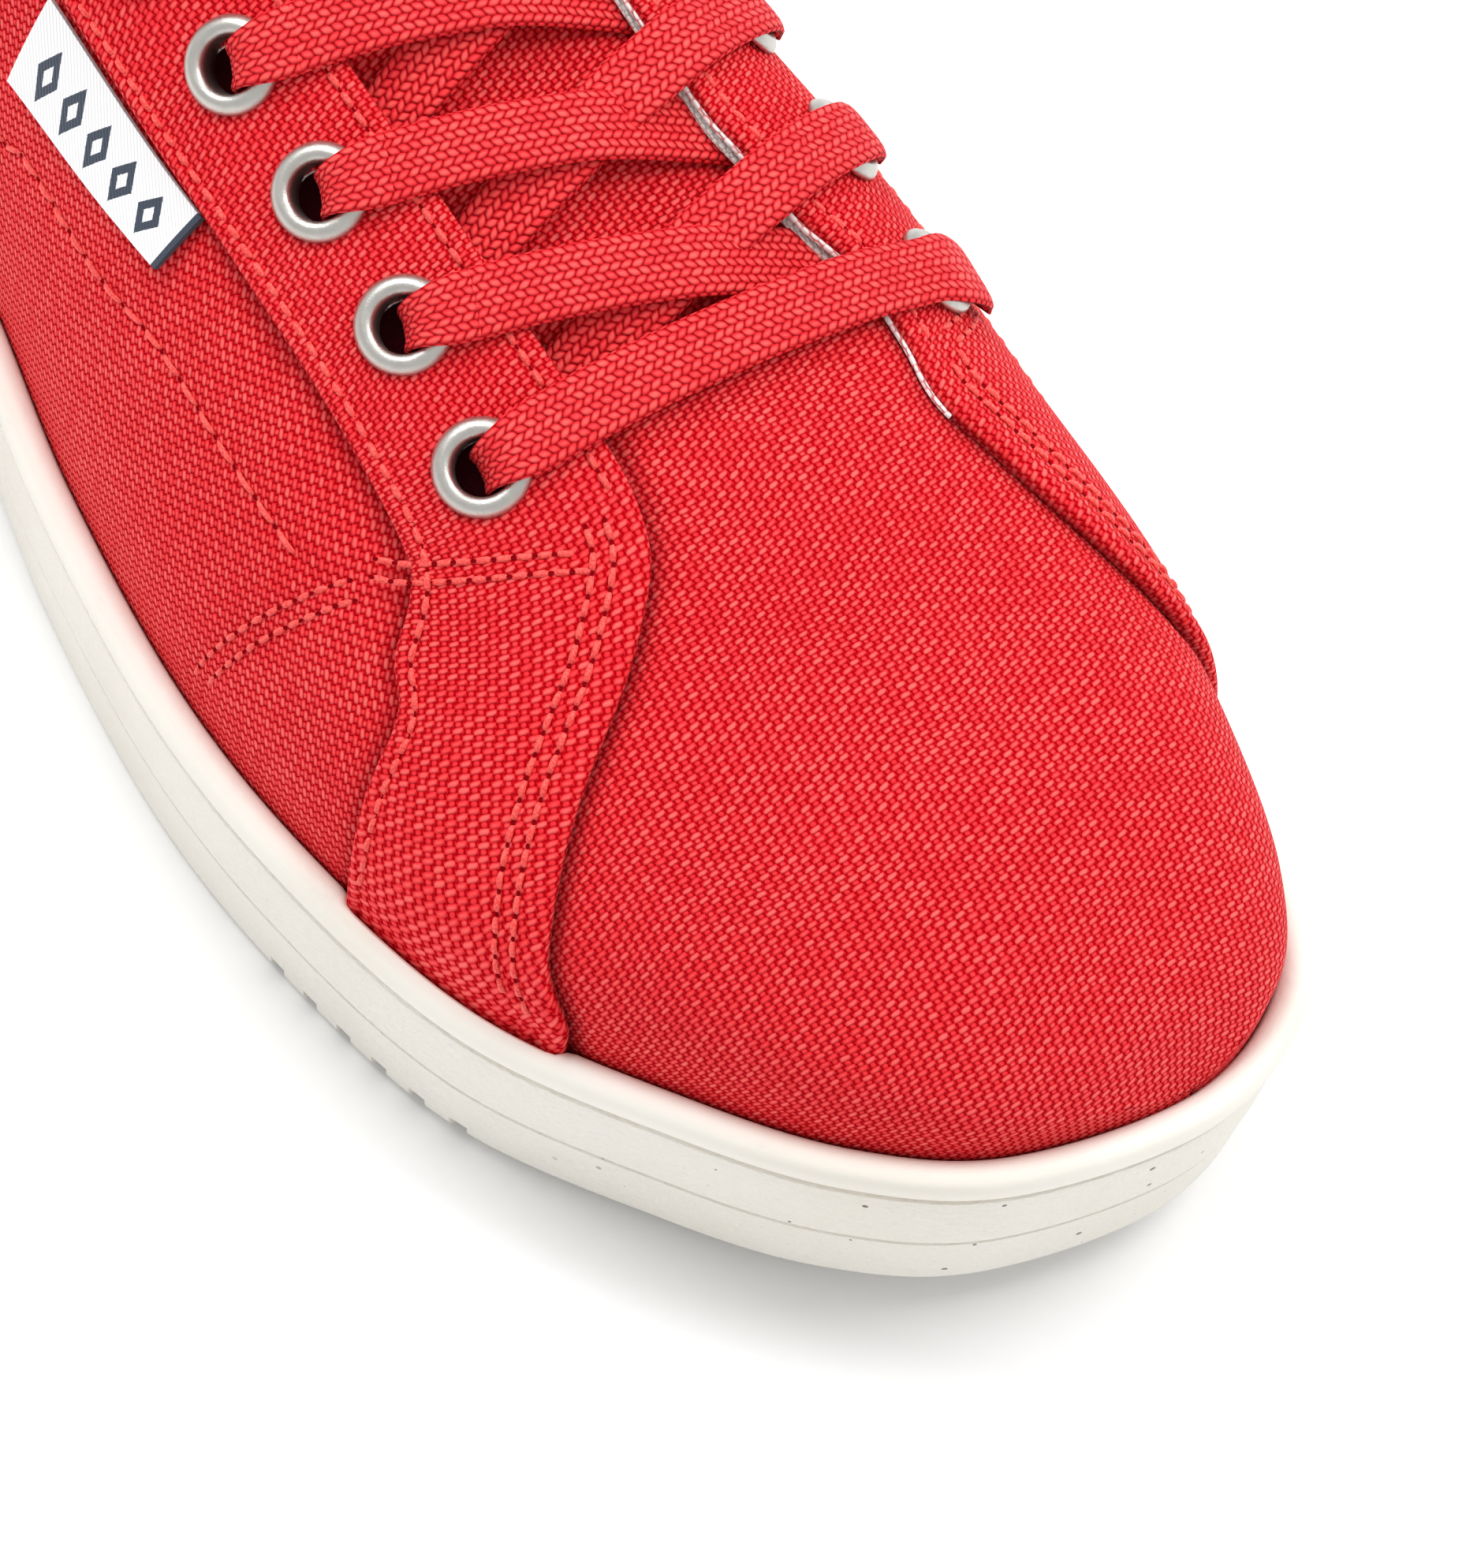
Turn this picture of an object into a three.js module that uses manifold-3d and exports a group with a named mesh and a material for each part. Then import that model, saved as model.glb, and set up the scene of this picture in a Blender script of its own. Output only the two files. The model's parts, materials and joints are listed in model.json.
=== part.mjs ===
// Canvas sneaker, right foot, about EU 40, standing empty on its sole.
// Millimetres, +Z up. +X points to the toe, +Y to the medial (inner) side of the foot.
import * as THREE from "three";
import { mergeVertices } from "three/addons/utils/BufferGeometryUtils.js";
import Module from "manifold-3d";

const wasm = await Module();
wasm.setup();

// ---------------------------------------------------------------- driving dimensions
const SOLE_LENGTH = 277.6;
const BALL_WIDTH = 102.6;
const INSTEP_HEIGHT = 100;      // ridge of the upper above the floor, at the top of the throat
const CANVAS_WALL = 2.0;        // canvas, foam-backed lining and glue together
const GAP = 0.3;                // air left between two pieces that meet

const LIP_HEIGHT = 25.8;        // top of the cupsole's rim at the forefoot
const LIP_HEEL_RISE = 5.5;      // how much higher the rim is at the back of the heel
const LIP_RISE_START = 10;      // x where the rim starts to climb towards the heel
const CUP_FLOOR_FORE = 12.5;    // rubber and foam under the insole
const CUP_FLOOR_HEEL = 17;
const TOE_SPRING = 7.6;
const TOE_SPRING_START = 63;
const ARCH_RISE = 1.8;
const ARCH_FROM = -48;
const ARCH_TO = 20;

const CUP_WALL = 3.3;           // sole's edge to the inside of the cup
const UPPER_INSET = CUP_WALL + GAP + 0.1;
const BELLY = 3;                // height above the rim where the upper starts to curve in
const HEEL_PIVOT = -95;         // the heel's sections fan out about this x

const HEEL_COLLAR = 92;         // height of the collar at the back of the heel
const THROAT_FRONT = 47;        // x of the throat's front end
const THROAT_TOP = -38;         // x of the throat's rear end, where the collar begins

const EYELET_PAIRS = 6;
const FIRST_EYELET = { lateral: 47.9, medial: 52.0 };   // x of the pair nearest the toe
const EYELET_PITCH = 15.95;     // along x; about 17 mm along the facing
const EYELET_OUTER = 5.35;
const EYELET_HOLE = 3.0;
const EYELET_SIDES = 12;

const LACE_WIDTH = 7.4;
const LACE_THICKNESS = 1.4;

const TONGUE_DEPTH = 3.8;       // from the upper's outside to the tongue's outside
const TONGUE_THICKNESS = 2.6;
const TONGUE_FRONT = 66;
const TONGUE_TOP = -47;

const INSOLE_THICKNESS = 4;

// Samples between two sections, and from the feather edge to the ridge.
const STEPS_PER_SECTION = 3;
const STEPS_UP = 8;

// ---------------------------------------------------------------- sections of the last
// along: fraction of the sole's length. lateral, medial, ridge: fractions of the ball width.
// top: ridge height as a fraction of the instep height. outer, inner: roundness across the
// section on each side (2 is an ellipse, more is squarer). rise: roundness up the section.
const SECTIONS = [
  { along: 0.000, lateral: 0.005, medial: 0.005, ridge: 0.005, top: 1.600, outer: 2.0, inner: 2.0, rise: 1.9 },
  { along: 0.014, lateral: -0.141, medial: 0.136, ridge: 0.005, top: 1.600, outer: 2.0, inner: 2.1, rise: 1.9 },
  { along: 0.053, lateral: -0.268, medial: 0.258, ridge: 0.005, top: 1.600, outer: 2.0, inner: 2.3, rise: 1.9 },
  { along: 0.118, lateral: -0.339, medial: 0.327, ridge: 0.010, top: 1.550, outer: 2.1, inner: 2.6, rise: 2.0 },
  { along: 0.205, lateral: -0.356, medial: 0.336, ridge: 0.018, top: 1.450, outer: 2.1, inner: 2.8, rise: 2.0 },
  { along: 0.309, lateral: -0.370, medial: 0.327, ridge: 0.039, top: 1.220, outer: 2.1, inner: 3.0, rise: 2.0 },
  { along: 0.417, lateral: -0.403, medial: 0.336, ridge: 0.081, top: 0.992, outer: 2.0, inner: 3.1, rise: 2.0 },
  { along: 0.522, lateral: -0.465, medial: 0.395, ridge: 0.118, top: 0.864, outer: 2.0, inner: 3.1, rise: 1.9 },
  { along: 0.630, lateral: -0.501, medial: 0.471, ridge: 0.136, top: 0.752, outer: 2.0, inner: 3.1, rise: 1.9 },
  { along: 0.720, lateral: -0.489, medial: 0.494, ridge: 0.139, top: 0.661, outer: 2.0, inner: 3.1, rise: 1.9 },
  { along: 0.810, lateral: -0.437, medial: 0.490, ridge: 0.144, top: 0.603, outer: 2.1, inner: 3.1, rise: 2.0 },
  { along: 0.885, lateral: -0.326, medial: 0.445, ridge: 0.145, top: 0.553, outer: 2.2, inner: 3.2, rise: 2.1 },
  { along: 0.943, lateral: -0.213, medial: 0.390, ridge: 0.142, top: 0.488, outer: 2.2, inner: 3.0, rise: 2.1 },
  { along: 0.982, lateral: -0.074, medial: 0.301, ridge: 0.139, top: 0.419, outer: 2.2, inner: 2.6, rise: 2.1 },
  { along: 1.000, lateral: 0.140, medial: 0.140, ridge: 0.140, top: 0.330, outer: 2.2, inner: 2.2, rise: 2.1 },
];
const LAST = SECTIONS.length - 1;

// Plan place of each pair of eyelets, numbered from the toe.
const EYELET_ROWS = [
  { lateral: -20.7, medial: 35.1 },
  { lateral: -20.2, medial: 33.0 },
  { lateral: -20.4, medial: 30.0 },
  { lateral: -21.2, medial: 27.8 },
  { lateral: -22.2, medial: 26.4 },
  { lateral: -23.2, medial: 25.6 },
];

// Plan of the throat: the two facing edges, from the collar to the front end.
const THROAT_EDGES = [
  { x: -60, lateral: -15.6, medial: 16.6 },
  { x: -38, lateral: -15.0, medial: 16.4 },
  { x: 8, lateral: -11.8, medial: 16.6 },
  { x: 28, lateral: -10.4, medial: 18.4 },
  { x: 42, lateral: -9.4, medial: 21.5 },
  { x: THROAT_FRONT, lateral: -6.5, medial: 20.0 },
];

// Side view of the collar, from the heel to the top of the throat.
const COLLAR_LINE = [
  { x: -150, z: HEEL_COLLAR },
  { x: -137, z: HEEL_COLLAR },
  { x: -126, z: 88 },
  { x: -108, z: 78 },
  { x: -86, z: 71 },
  { x: -66, z: 72 },
  { x: -52, z: 79 },
  { x: -43, z: 89 },
  { x: -39, z: 103 },
  { x: THROAT_TOP, z: 125 },
];

// Cross-section of the cupsole's wall. inset: in from the sole's outline. level: which height
// z counts from (the tread, the rim or the floor inside the cup).
const SOLE_WALL = [
  { inset: 2.4, level: "tread", z: 0 },
  { inset: 1.35, level: "tread", z: 1.1 },
  { inset: 0.9, level: "rim", z: -17 },
  { inset: 0.25, level: "rim", z: -5 },
  { inset: 0.65, level: "rim", z: -4.35 },
  { inset: 0.1, level: "rim", z: -3.6 },
  { inset: 0, level: "rim", z: -2.2 },
  { inset: 0.5, level: "rim", z: -0.7 },
  { inset: 1.6, level: "rim", z: 0 },
  { inset: 2.7, level: "rim", z: -0.15 },
  { inset: CUP_WALL, level: "rim", z: -0.9 },
  { inset: CUP_WALL, level: "floor", z: 0 },
];

// Closed section of one eyelet: radius from its axis, height along it from the canvas.
const EYELET_SECTION = [
  { r: EYELET_HOLE, h: 0.7 },
  { r: EYELET_HOLE + 1.1, h: 1.15 },
  { r: EYELET_OUTER, h: 0.45 },
  { r: EYELET_HOLE + 0.35, h: 0.4 },
  { r: EYELET_HOLE + 0.35, h: -2.8 },
  { r: EYELET_OUTER - 1.1, h: -3.0 },
  { r: EYELET_HOLE, h: -3.15 },
];

// Grooves across the tread. flex: their ends show as notches in the sole's edge.
const FLEX_GROOVES = { first: 59.5, pitch: 5.4, count: 6, width: 2.2, depth: 2.4 };
const HEEL_GROOVES = { first: -122, pitch: 9, count: 4, width: 2.6, depth: 2.2, halfSpan: 22 };
const BALL_GROOVES = { first: 26, pitch: 8, count: 2, width: 2.6, depth: 2.2, halfSpan: 34 };

// ---------------------------------------------------------------- materials
function material(color, roughness, metalness = 0) {
  return new THREE.MeshStandardMaterial({ color, roughness, metalness });
}

const canvasRed = material(0xc8201e, 0.9);
const tongueRed = material(0xbd1d1c, 0.9);
const laceRed = material(0xcf2422, 0.8);
const ivoryRubber = material(0xeae6dc, 0.6);
const liningWhite = material(0xe9e4db, 0.9);
const twillWhite = material(0xf2f1ee, 0.8);
const nickel = material(0xb9b7ae, 0.35, 1);

// ---------------------------------------------------------------- curves and the last
const clamp01 = (value) => Math.min(Math.max(value, 0), 1);

function smoothStep(from, to, x) {
  const t = clamp01((x - from) / (to - from));
  return t * t * (3 - 2 * t);
}

const toeSpring = (x) => TOE_SPRING * clamp01((x - TOE_SPRING_START) / (SOLE_LENGTH / 2 - TOE_SPRING_START)) ** 2;

function rimHeight(x) {
  const behind = clamp01((LIP_RISE_START - x) / (LIP_RISE_START + SOLE_LENGTH / 2));
  return LIP_HEIGHT + toeSpring(x) + LIP_HEEL_RISE * behind ** 1.3;
}

function treadHeight(x) {
  const t = clamp01((x - ARCH_FROM) / (ARCH_TO - ARCH_FROM));
  return toeSpring(x) + ARCH_RISE * Math.sin(Math.PI * t) ** 2;
}

function cupFloor(x) {
  const heelward = 1 - smoothStep(-30, 25, x);
  return CUP_FLOOR_FORE + toeSpring(x) + (CUP_FLOOR_HEEL - CUP_FLOOR_FORE) * heelward;
}

// Catmull-Rom through a closed ring of numbers, at row number t.
function ringValue(values, t) {
  const count = values.length;
  const start = Math.floor(t);
  const f = t - start;
  const at = (i) => values[(i + count) % count];
  const [a, b, c, d] = [at(start - 1), at(start), at(start + 1), at(start + 2)];
  return 0.5 * (2 * b + (c - a) * f + (2 * a - 5 * b + 4 * c - d) * f * f + (3 * b - a - 3 * c + d) * f ** 3);
}

// The ring runs heel to toe on the lateral side, and back to the heel on the medial side.
const back = SECTIONS.slice(1, -1).reverse();
const ringX = [...SECTIONS, ...back].map((row) => (row.along - 0.5) * SOLE_LENGTH);
const ringY = [...SECTIONS.map((row) => row.lateral), ...back.map((row) => row.medial)].map((y) => y * BALL_WIDTH);
const RING = ringX.length;

function column(name) {
  return [...SECTIONS, ...back].map((row) => row[name]);
}
const columns = {
  ridge: column("ridge").map((y) => y * BALL_WIDTH),
  top: column("top").map((z) => z * INSTEP_HEIGHT),
  outer: column("outer"),
  inner: column("inner"),
  rise: column("rise"),
};

// A point of the sole's outline at section number row, moved in by inset.
// side is -1 on the lateral side and +1 on the medial side.
function outline(row, side, inset) {
  const t = side < 0 ? row : (RING - row) % RING;
  const tiny = 1e-3;
  const before = (t - tiny + RING) % RING;
  const after = (t + tiny) % RING;
  const tx = ringValue(ringX, after) - ringValue(ringX, before);
  const ty = ringValue(ringY, after) - ringValue(ringY, before);
  const length = Math.hypot(tx, ty);
  return {
    x: ringValue(ringX, t) - (ty / length) * inset,
    y: ringValue(ringY, t) + (tx / length) * inset,
  };
}

function ridgePoint(row, inset) {
  const lateral = outline(row, -1, inset);
  const medial = outline(row, 1, inset);
  return {
    x: Math.max((lateral.x + medial.x) / 2, HEEL_PIVOT),
    y: ringValue(columns.ridge, row),
  };
}

// The upper's surface, depth below its outside. across is 1 at the feather edge, 0 on the ridge.
function lastPoint(row, side, across, depth) {
  const edge = outline(row, side, UPPER_INSET + depth);
  const ridge = ridgePoint(row, UPPER_INSET + depth);
  const top = ringValue(columns.top, row) - depth;
  const base = Math.min(rimHeight(edge.x) + BELLY, top);
  const wide = ringValue(side < 0 ? columns.outer : columns.inner, row);
  const tall = ringValue(columns.rise, row);
  const angle = Math.acos(clamp01(across) ** (wide / 2));
  return new THREE.Vector3(
    ridge.x + (edge.x - ridge.x) * across,
    ridge.y + (edge.y - ridge.y) * across,
    base + (top - base) * Math.sin(angle) ** (2 / tall),
  );
}

// The same surface found from its plan position, for the parts in front of the heel.
function pointOver(x, y, depth) {
  let low = 3.2;
  let high = LAST - 0.3;
  let found = null;
  for (let turn = 0; turn < 30; turn += 1) {
    const row = (low + high) / 2;
    const ridge = ridgePoint(row, UPPER_INSET + depth);
    const side = y < ridge.y ? -1 : 1;
    const edge = outline(row, side, UPPER_INSET + depth);
    const across = Math.min((y - ridge.y) / (edge.y - ridge.y), 1);
    found = lastPoint(row, side, across, depth);
    if (found.x < x) {
      low = row;
    } else {
      high = row;
    }
  }
  return found;
}

function normalOver(x, y, depth) {
  const reach = 1.5;
  const slopeX = (pointOver(x + reach, y, depth).z - pointOver(x - reach, y, depth).z) / (2 * reach);
  const slopeY = (pointOver(x, y + reach, depth).z - pointOver(x, y - reach, depth).z) / (2 * reach);
  return new THREE.Vector3(-slopeX, -slopeY, 1).normalize();
}

// ---------------------------------------------------------------- mesh helpers
// A closed geometry from points and triangles; points that coincide become one.
function closedGeometry(points, triangles) {
  const raw = new THREE.BufferGeometry();
  raw.setAttribute("position", new THREE.Float32BufferAttribute(points.flatMap((p) => [p.x, p.y, p.z]), 3));
  raw.setIndex(triangles.flat());
  const merged = mergeVertices(raw, 1e-4);
  const index = merged.index.array;
  const kept = [];
  for (let i = 0; i < index.length; i += 3) {
    const [a, b, c] = [index[i], index[i + 1], index[i + 2]];
    if (a !== b && b !== c && c !== a) kept.push(a, b, c);
  }
  merged.setIndex(kept);
  return merged;
}

function toSolid(geometry) {
  const bare = geometry.clone();
  bare.deleteAttribute("normal");
  bare.deleteAttribute("uv");
  const merged = mergeVertices(bare, 1e-4);
  const mesh = new wasm.Mesh({
    numProp: 3,
    vertProperties: new Float32Array(merged.attributes.position.array),
    triVerts: new Uint32Array(merged.index.array),
  });
  return new wasm.Manifold(mesh);
}

function toGeometry(solid) {
  const mesh = solid.getMesh();
  const geometry = new THREE.BufferGeometry();
  geometry.setAttribute("position", new THREE.BufferAttribute(new Float32Array(mesh.vertProperties), 3));
  geometry.setIndex(new THREE.BufferAttribute(new Uint32Array(mesh.triVerts), 1));
  geometry.computeVertexNormals();
  return geometry;
}

function named(name, geometry, look) {
  const mesh = new THREE.Mesh(geometry, look);
  mesh.name = name;
  return mesh;
}

// One loop around the shoe at every sampled section, lateral side first.
function loopAround(place) {
  const steps = LAST * STEPS_PER_SECTION;
  const lateral = Array.from({ length: steps + 1 }, (_, i) => place(i / STEPS_PER_SECTION, -1));
  const medial = Array.from({ length: steps - 1 }, (_, i) => place((steps - 1 - i) / STEPS_PER_SECTION, 1));
  return [...lateral, ...medial];
}

// Joins a stack of loops, bottom to top, and closes both ends from side to side.
function stackLoops(loops) {
  const count = loops[0].length;
  const points = loops.flat();
  const triangles = [];
  for (let level = 0; level < loops.length - 1; level += 1) {
    for (let i = 0; i < count; i += 1) {
      const a = level * count + i;
      const b = level * count + ((i + 1) % count);
      triangles.push([a, b, b + count], [a, b + count, a + count]);
    }
  }
  const topStart = (loops.length - 1) * count;
  for (let i = 0; i < count / 2; i += 1) {
    const [a, b] = [i, i + 1];
    const [c, d] = [(count - i) % count, (count - i - 1) % count];
    triangles.push([b, a, c], [b, c, d]);
    triangles.push([topStart + a, topStart + b, topStart + c], [topStart + b, topStart + d, topStart + c]);
  }
  return closedGeometry(points, triangles);
}

// A slab over a grid of sample points: front and back faces and the four edges.
function slab(columnsCount, rowsCount, place) {
  const points = [];
  for (const face of [0, 1]) {
    for (let i = 0; i <= columnsCount; i += 1) {
      for (let j = 0; j <= rowsCount; j += 1) points.push(place(i / columnsCount, j / rowsCount, face));
    }
  }
  const perFace = (columnsCount + 1) * (rowsCount + 1);
  const id = (face, i, j) => face * perFace + i * (rowsCount + 1) + j;
  const triangles = [];
  const quad = (a, b, c, d) => triangles.push([a, b, c], [a, c, d]);
  for (let i = 0; i < columnsCount; i += 1) {
    for (let j = 0; j < rowsCount; j += 1) {
      quad(id(0, i, j), id(0, i + 1, j), id(0, i + 1, j + 1), id(0, i, j + 1));
      quad(id(1, i, j), id(1, i, j + 1), id(1, i + 1, j + 1), id(1, i + 1, j));
    }
    quad(id(0, i, 0), id(1, i, 0), id(1, i + 1, 0), id(0, i + 1, 0));
    quad(id(0, i, rowsCount), id(0, i + 1, rowsCount), id(1, i + 1, rowsCount), id(1, i, rowsCount));
  }
  for (let j = 0; j < rowsCount; j += 1) {
    quad(id(0, 0, j), id(0, 0, j + 1), id(1, 0, j + 1), id(1, 0, j));
    quad(id(0, columnsCount, j), id(1, columnsCount, j), id(1, columnsCount, j + 1), id(0, columnsCount, j + 1));
  }
  return closedGeometry(points, triangles);
}

// ---------------------------------------------------------------- eyelet places
function eyeletPlan(side, number) {
  const row = EYELET_ROWS[number];
  return side < 0
    ? { x: FIRST_EYELET.lateral - EYELET_PITCH * number, y: row.lateral }
    : { x: FIRST_EYELET.medial - EYELET_PITCH * number, y: row.medial };
}

// ---------------------------------------------------------------- upper
function lastSolid(depth, bottomDrop) {
  const levels = Array.from({ length: STEPS_UP + 1 }, (_, i) => Math.cos((i / STEPS_UP) * (Math.PI / 2)));
  const foot = loopAround((row, side) => {
    const edge = lastPoint(row, side, 1, depth);
    return new THREE.Vector3(edge.x, edge.y, cupFloor(edge.x) + GAP - bottomDrop);
  });
  const walls = levels.map((level) => loopAround((row, side) => lastPoint(row, side, level, depth)));
  return toSolid(stackLoops([foot, ...walls]));
}

function prism(shape, depth) {
  return new THREE.ExtrudeGeometry(shape, { depth, bevelEnabled: false });
}

function throatCutter() {
  const lateral = THROAT_EDGES.map((row) => new THREE.Vector2(row.x, row.lateral));
  const medial = THROAT_EDGES.map((row) => new THREE.Vector2(row.x, row.medial)).reverse();
  const geometry = prism(new THREE.Shape([...lateral, ...medial]), 160);
  geometry.translate(0, 0, 42);
  return toSolid(geometry);
}

function collarCutter() {
  const line = new THREE.SplineCurve(COLLAR_LINE.map((row) => new THREE.Vector2(row.x, row.z)));
  const edge = line.getPoints(36);
  const above = [new THREE.Vector2(THROAT_TOP, 220), new THREE.Vector2(-150, 220)];
  const geometry = prism(new THREE.Shape([...edge, ...above]), 140);
  geometry.translate(0, 0, -70);
  geometry.rotateX(Math.PI / 2);
  return toSolid(geometry);
}

function eyeletDrill(side, number) {
  const { x, y } = eyeletPlan(side, number);
  const axis = normalOver(x, y, 0);
  const drill = new THREE.CylinderGeometry(EYELET_HOLE + 0.8, EYELET_HOLE + 0.8, 16, EYELET_SIDES);
  drill.applyQuaternion(new THREE.Quaternion().setFromUnitVectors(new THREE.Vector3(0, 1, 0), axis));
  const centre = pointOver(x, y, 0);
  drill.translate(centre.x, centre.y, centre.z);
  return toSolid(drill);
}

function makeUpper() {
  let shell = lastSolid(0, 0).subtract(lastSolid(CANVAS_WALL, 4));
  shell = shell.subtract(throatCutter()).subtract(collarCutter());
  for (let number = 0; number < EYELET_PAIRS; number += 1) {
    shell = shell.subtract(eyeletDrill(-1, number)).subtract(eyeletDrill(1, number));
  }
  return named("upper", toGeometry(shell), canvasRed);
}

// ---------------------------------------------------------------- cupsole
function grooveSet({ first, pitch, count, width, depth, halfSpan }) {
  const reach = halfSpan ?? BALL_WIDTH;
  return Array.from({ length: count }, (_, i) => {
    const x = first + pitch * i;
    const top = treadHeight(x) + depth;
    const box = new THREE.BoxGeometry(width, 2 * reach, top + 2);
    box.translate(x, 0, (top - 2) / 2);
    return toSolid(box);
  });
}

function makeCupsole() {
  const level = { tread: treadHeight, rim: rimHeight, floor: cupFloor };
  const loops = SOLE_WALL.map((step) => loopAround((row, side) => {
    const edge = outline(row, side, step.inset);
    return new THREE.Vector3(edge.x, edge.y, level[step.level](edge.x) + step.z);
  }));
  let body = toSolid(stackLoops(loops));
  for (const groove of [FLEX_GROOVES, HEEL_GROOVES, BALL_GROOVES].flatMap(grooveSet)) {
    body = body.subtract(groove);
  }
  return named("cupsole", toGeometry(body), ivoryRubber);
}

// ---------------------------------------------------------------- insole
function makeInsole() {
  const side = UPPER_INSET + CANVAS_WALL + GAP + 0.1;
  const steps = [
    { inset: side, z: GAP },
    { inset: side, z: GAP + INSOLE_THICKNESS - 1 },
    { inset: side + 1, z: GAP + INSOLE_THICKNESS },
  ];
  const loops = steps.map((step) => loopAround((row, which) => {
    const edge = outline(row, which, step.inset);
    return new THREE.Vector3(edge.x, edge.y, cupFloor(edge.x) + step.z);
  }));
  return named("insole", stackLoops(loops), liningWhite);
}

// ---------------------------------------------------------------- tongue
function tongueHalfWidth(x) {
  const fromTop = clamp01((x - TONGUE_TOP) / 12);
  const narrowing = 1 - smoothStep(-30, 60, x);
  return (24.5 - 3.5 * narrowing) * (0.62 + 0.38 * Math.sqrt(1 - (1 - fromTop) ** 2));
}

function makeTongue() {
  const centreLine = (x) => 1 + 6.5 * smoothStep(-40, 55, x);
  const geometry = slab(20, 8, (u, v, face) => {
    const x = TONGUE_FRONT + (TONGUE_TOP - TONGUE_FRONT) * u;
    const y = centreLine(x) + (1 - 2 * v) * tongueHalfWidth(x);
    return pointOver(x, y, TONGUE_DEPTH + face * TONGUE_THICKNESS);
  });
  return named("tongue", geometry, tongueRed);
}

// ---------------------------------------------------------------- eyelets
function makeEyelet(side, number) {
  const name = `eyelet_${side < 0 ? "lateral" : "medial"}_${number + 1}`;
  const section = EYELET_SECTION.map((row) => new THREE.Vector2(row.r, row.h)).reverse();
  const ring = new THREE.LatheGeometry([...section, section[0]], EYELET_SIDES);
  ring.deleteAttribute("uv");
  ring.deleteAttribute("normal");
  const mesh = named(name, mergeVertices(ring, 1e-4), nickel);
  const { x, y } = eyeletPlan(side, number);
  mesh.position.copy(pointOver(x, y, 0));
  mesh.quaternion.setFromUnitVectors(new THREE.Vector3(0, 1, 0), normalOver(x, y, 0));
  return mesh;
}

// ---------------------------------------------------------------- laces
// A flat ribbon from one plan point to another; lift gives its centre's height over the upper.
function ribbon(from, to, lift, steps) {
  const along = new THREE.Vector2(to.x - from.x, to.y - from.y);
  const across = new THREE.Vector2(-along.y, along.x).normalize();
  return slab(steps, 1, (u, v, face) => {
    const off = (v - 0.5) * LACE_WIDTH;
    const x = from.x + along.x * u + across.x * off;
    const y = from.y + along.y * u + across.y * off;
    const height = lift(u) + (0.5 - face) * LACE_THICKNESS;
    return pointOver(x, y, 0).addScaledVector(normalOver(x, y, 0), height);
  });
}

const OVER_EYELET = 2.75;       // centre of a lace over the canvas, clear of the eyelet's rim
const OVER_CANVAS = 1.15;       // centre of a lace where it starts beside the throat's edge

function makeLaceBar() {
  const geometry = ribbon(eyeletPlan(-1, 0), eyeletPlan(1, 0), () => OVER_EYELET, 14);
  return named("lace_bar", geometry, laceRed);
}

// Each crossing starts inside the throat beside one eyelet and ends over the next one opposite.
function crossingStrand(side, number) {
  const start = eyeletPlan(-side, number - 1);
  const end = eyeletPlan(side, number);
  const share = 0.36;
  const from = { x: start.x + (end.x - start.x) * share, y: start.y + (end.y - start.y) * share };
  const lift = (u) => OVER_CANVAS + (OVER_EYELET - OVER_CANVAS) * smoothStep(0.05, 0.6, u);
  return ribbon(from, end, lift, 10);
}

function makeLaceCross(number) {
  const joined = toSolid(crossingStrand(-1, number)).add(toSolid(crossingStrand(1, number)));
  return named(`lace_cross_${number}`, toGeometry(joined), laceRed);
}

// ---------------------------------------------------------------- label
// A flat woven tab on the lateral side, lying along the lower edge of the facing.
const LABEL_ENDS = {
  rear: { row: 6.02, low: 0.909, high: 0.832 },
  front: { row: 7.06, low: 0.822, high: 0.758 },
};
const LABEL_THICKNESS = 0.6;

function makeLabel() {
  const { rear, front } = LABEL_ENDS;
  const between = (from, to, t) => from + (to - from) * t;
  const geometry = slab(6, 2, (u, v, face) => {
    const row = between(rear.row, front.row, u);
    const low = between(rear.low, front.low, u);
    const high = between(rear.high, front.high, u);
    const height = GAP + 0.15 + LABEL_THICKNESS * (1 - face);
    return lastPoint(row, -1, between(low, high, v), -height);
  });
  return named("label", geometry, twillWhite);
}

// ---------------------------------------------------------------- assembly
const sneaker = new THREE.Group();
sneaker.add(makeCupsole());
sneaker.add(makeUpper());
sneaker.add(makeInsole());
sneaker.add(makeTongue());
for (const side of [-1, 1]) {
  for (let number = 0; number < EYELET_PAIRS; number += 1) sneaker.add(makeEyelet(side, number));
}
sneaker.add(makeLaceBar());
for (let number = 1; number < EYELET_PAIRS; number += 1) sneaker.add(makeLaceCross(number));
sneaker.add(makeLabel());

export default sneaker;
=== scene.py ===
"""Looks of the canvas sneaker (right foot): canvas panels, stitches, woven tab, eyelets, braided
laces, rubber cupsole and lining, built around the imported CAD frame. Lengths inside the script are
millimetres in the frame's axes (+X toe, +Y medial side, +Z up); meshes are written in metres."""
import json
import math

import bpy
import numpy as np
from mathutils import Matrix, Vector
from mathutils.geometry import delaunay_2d_cdt

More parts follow.
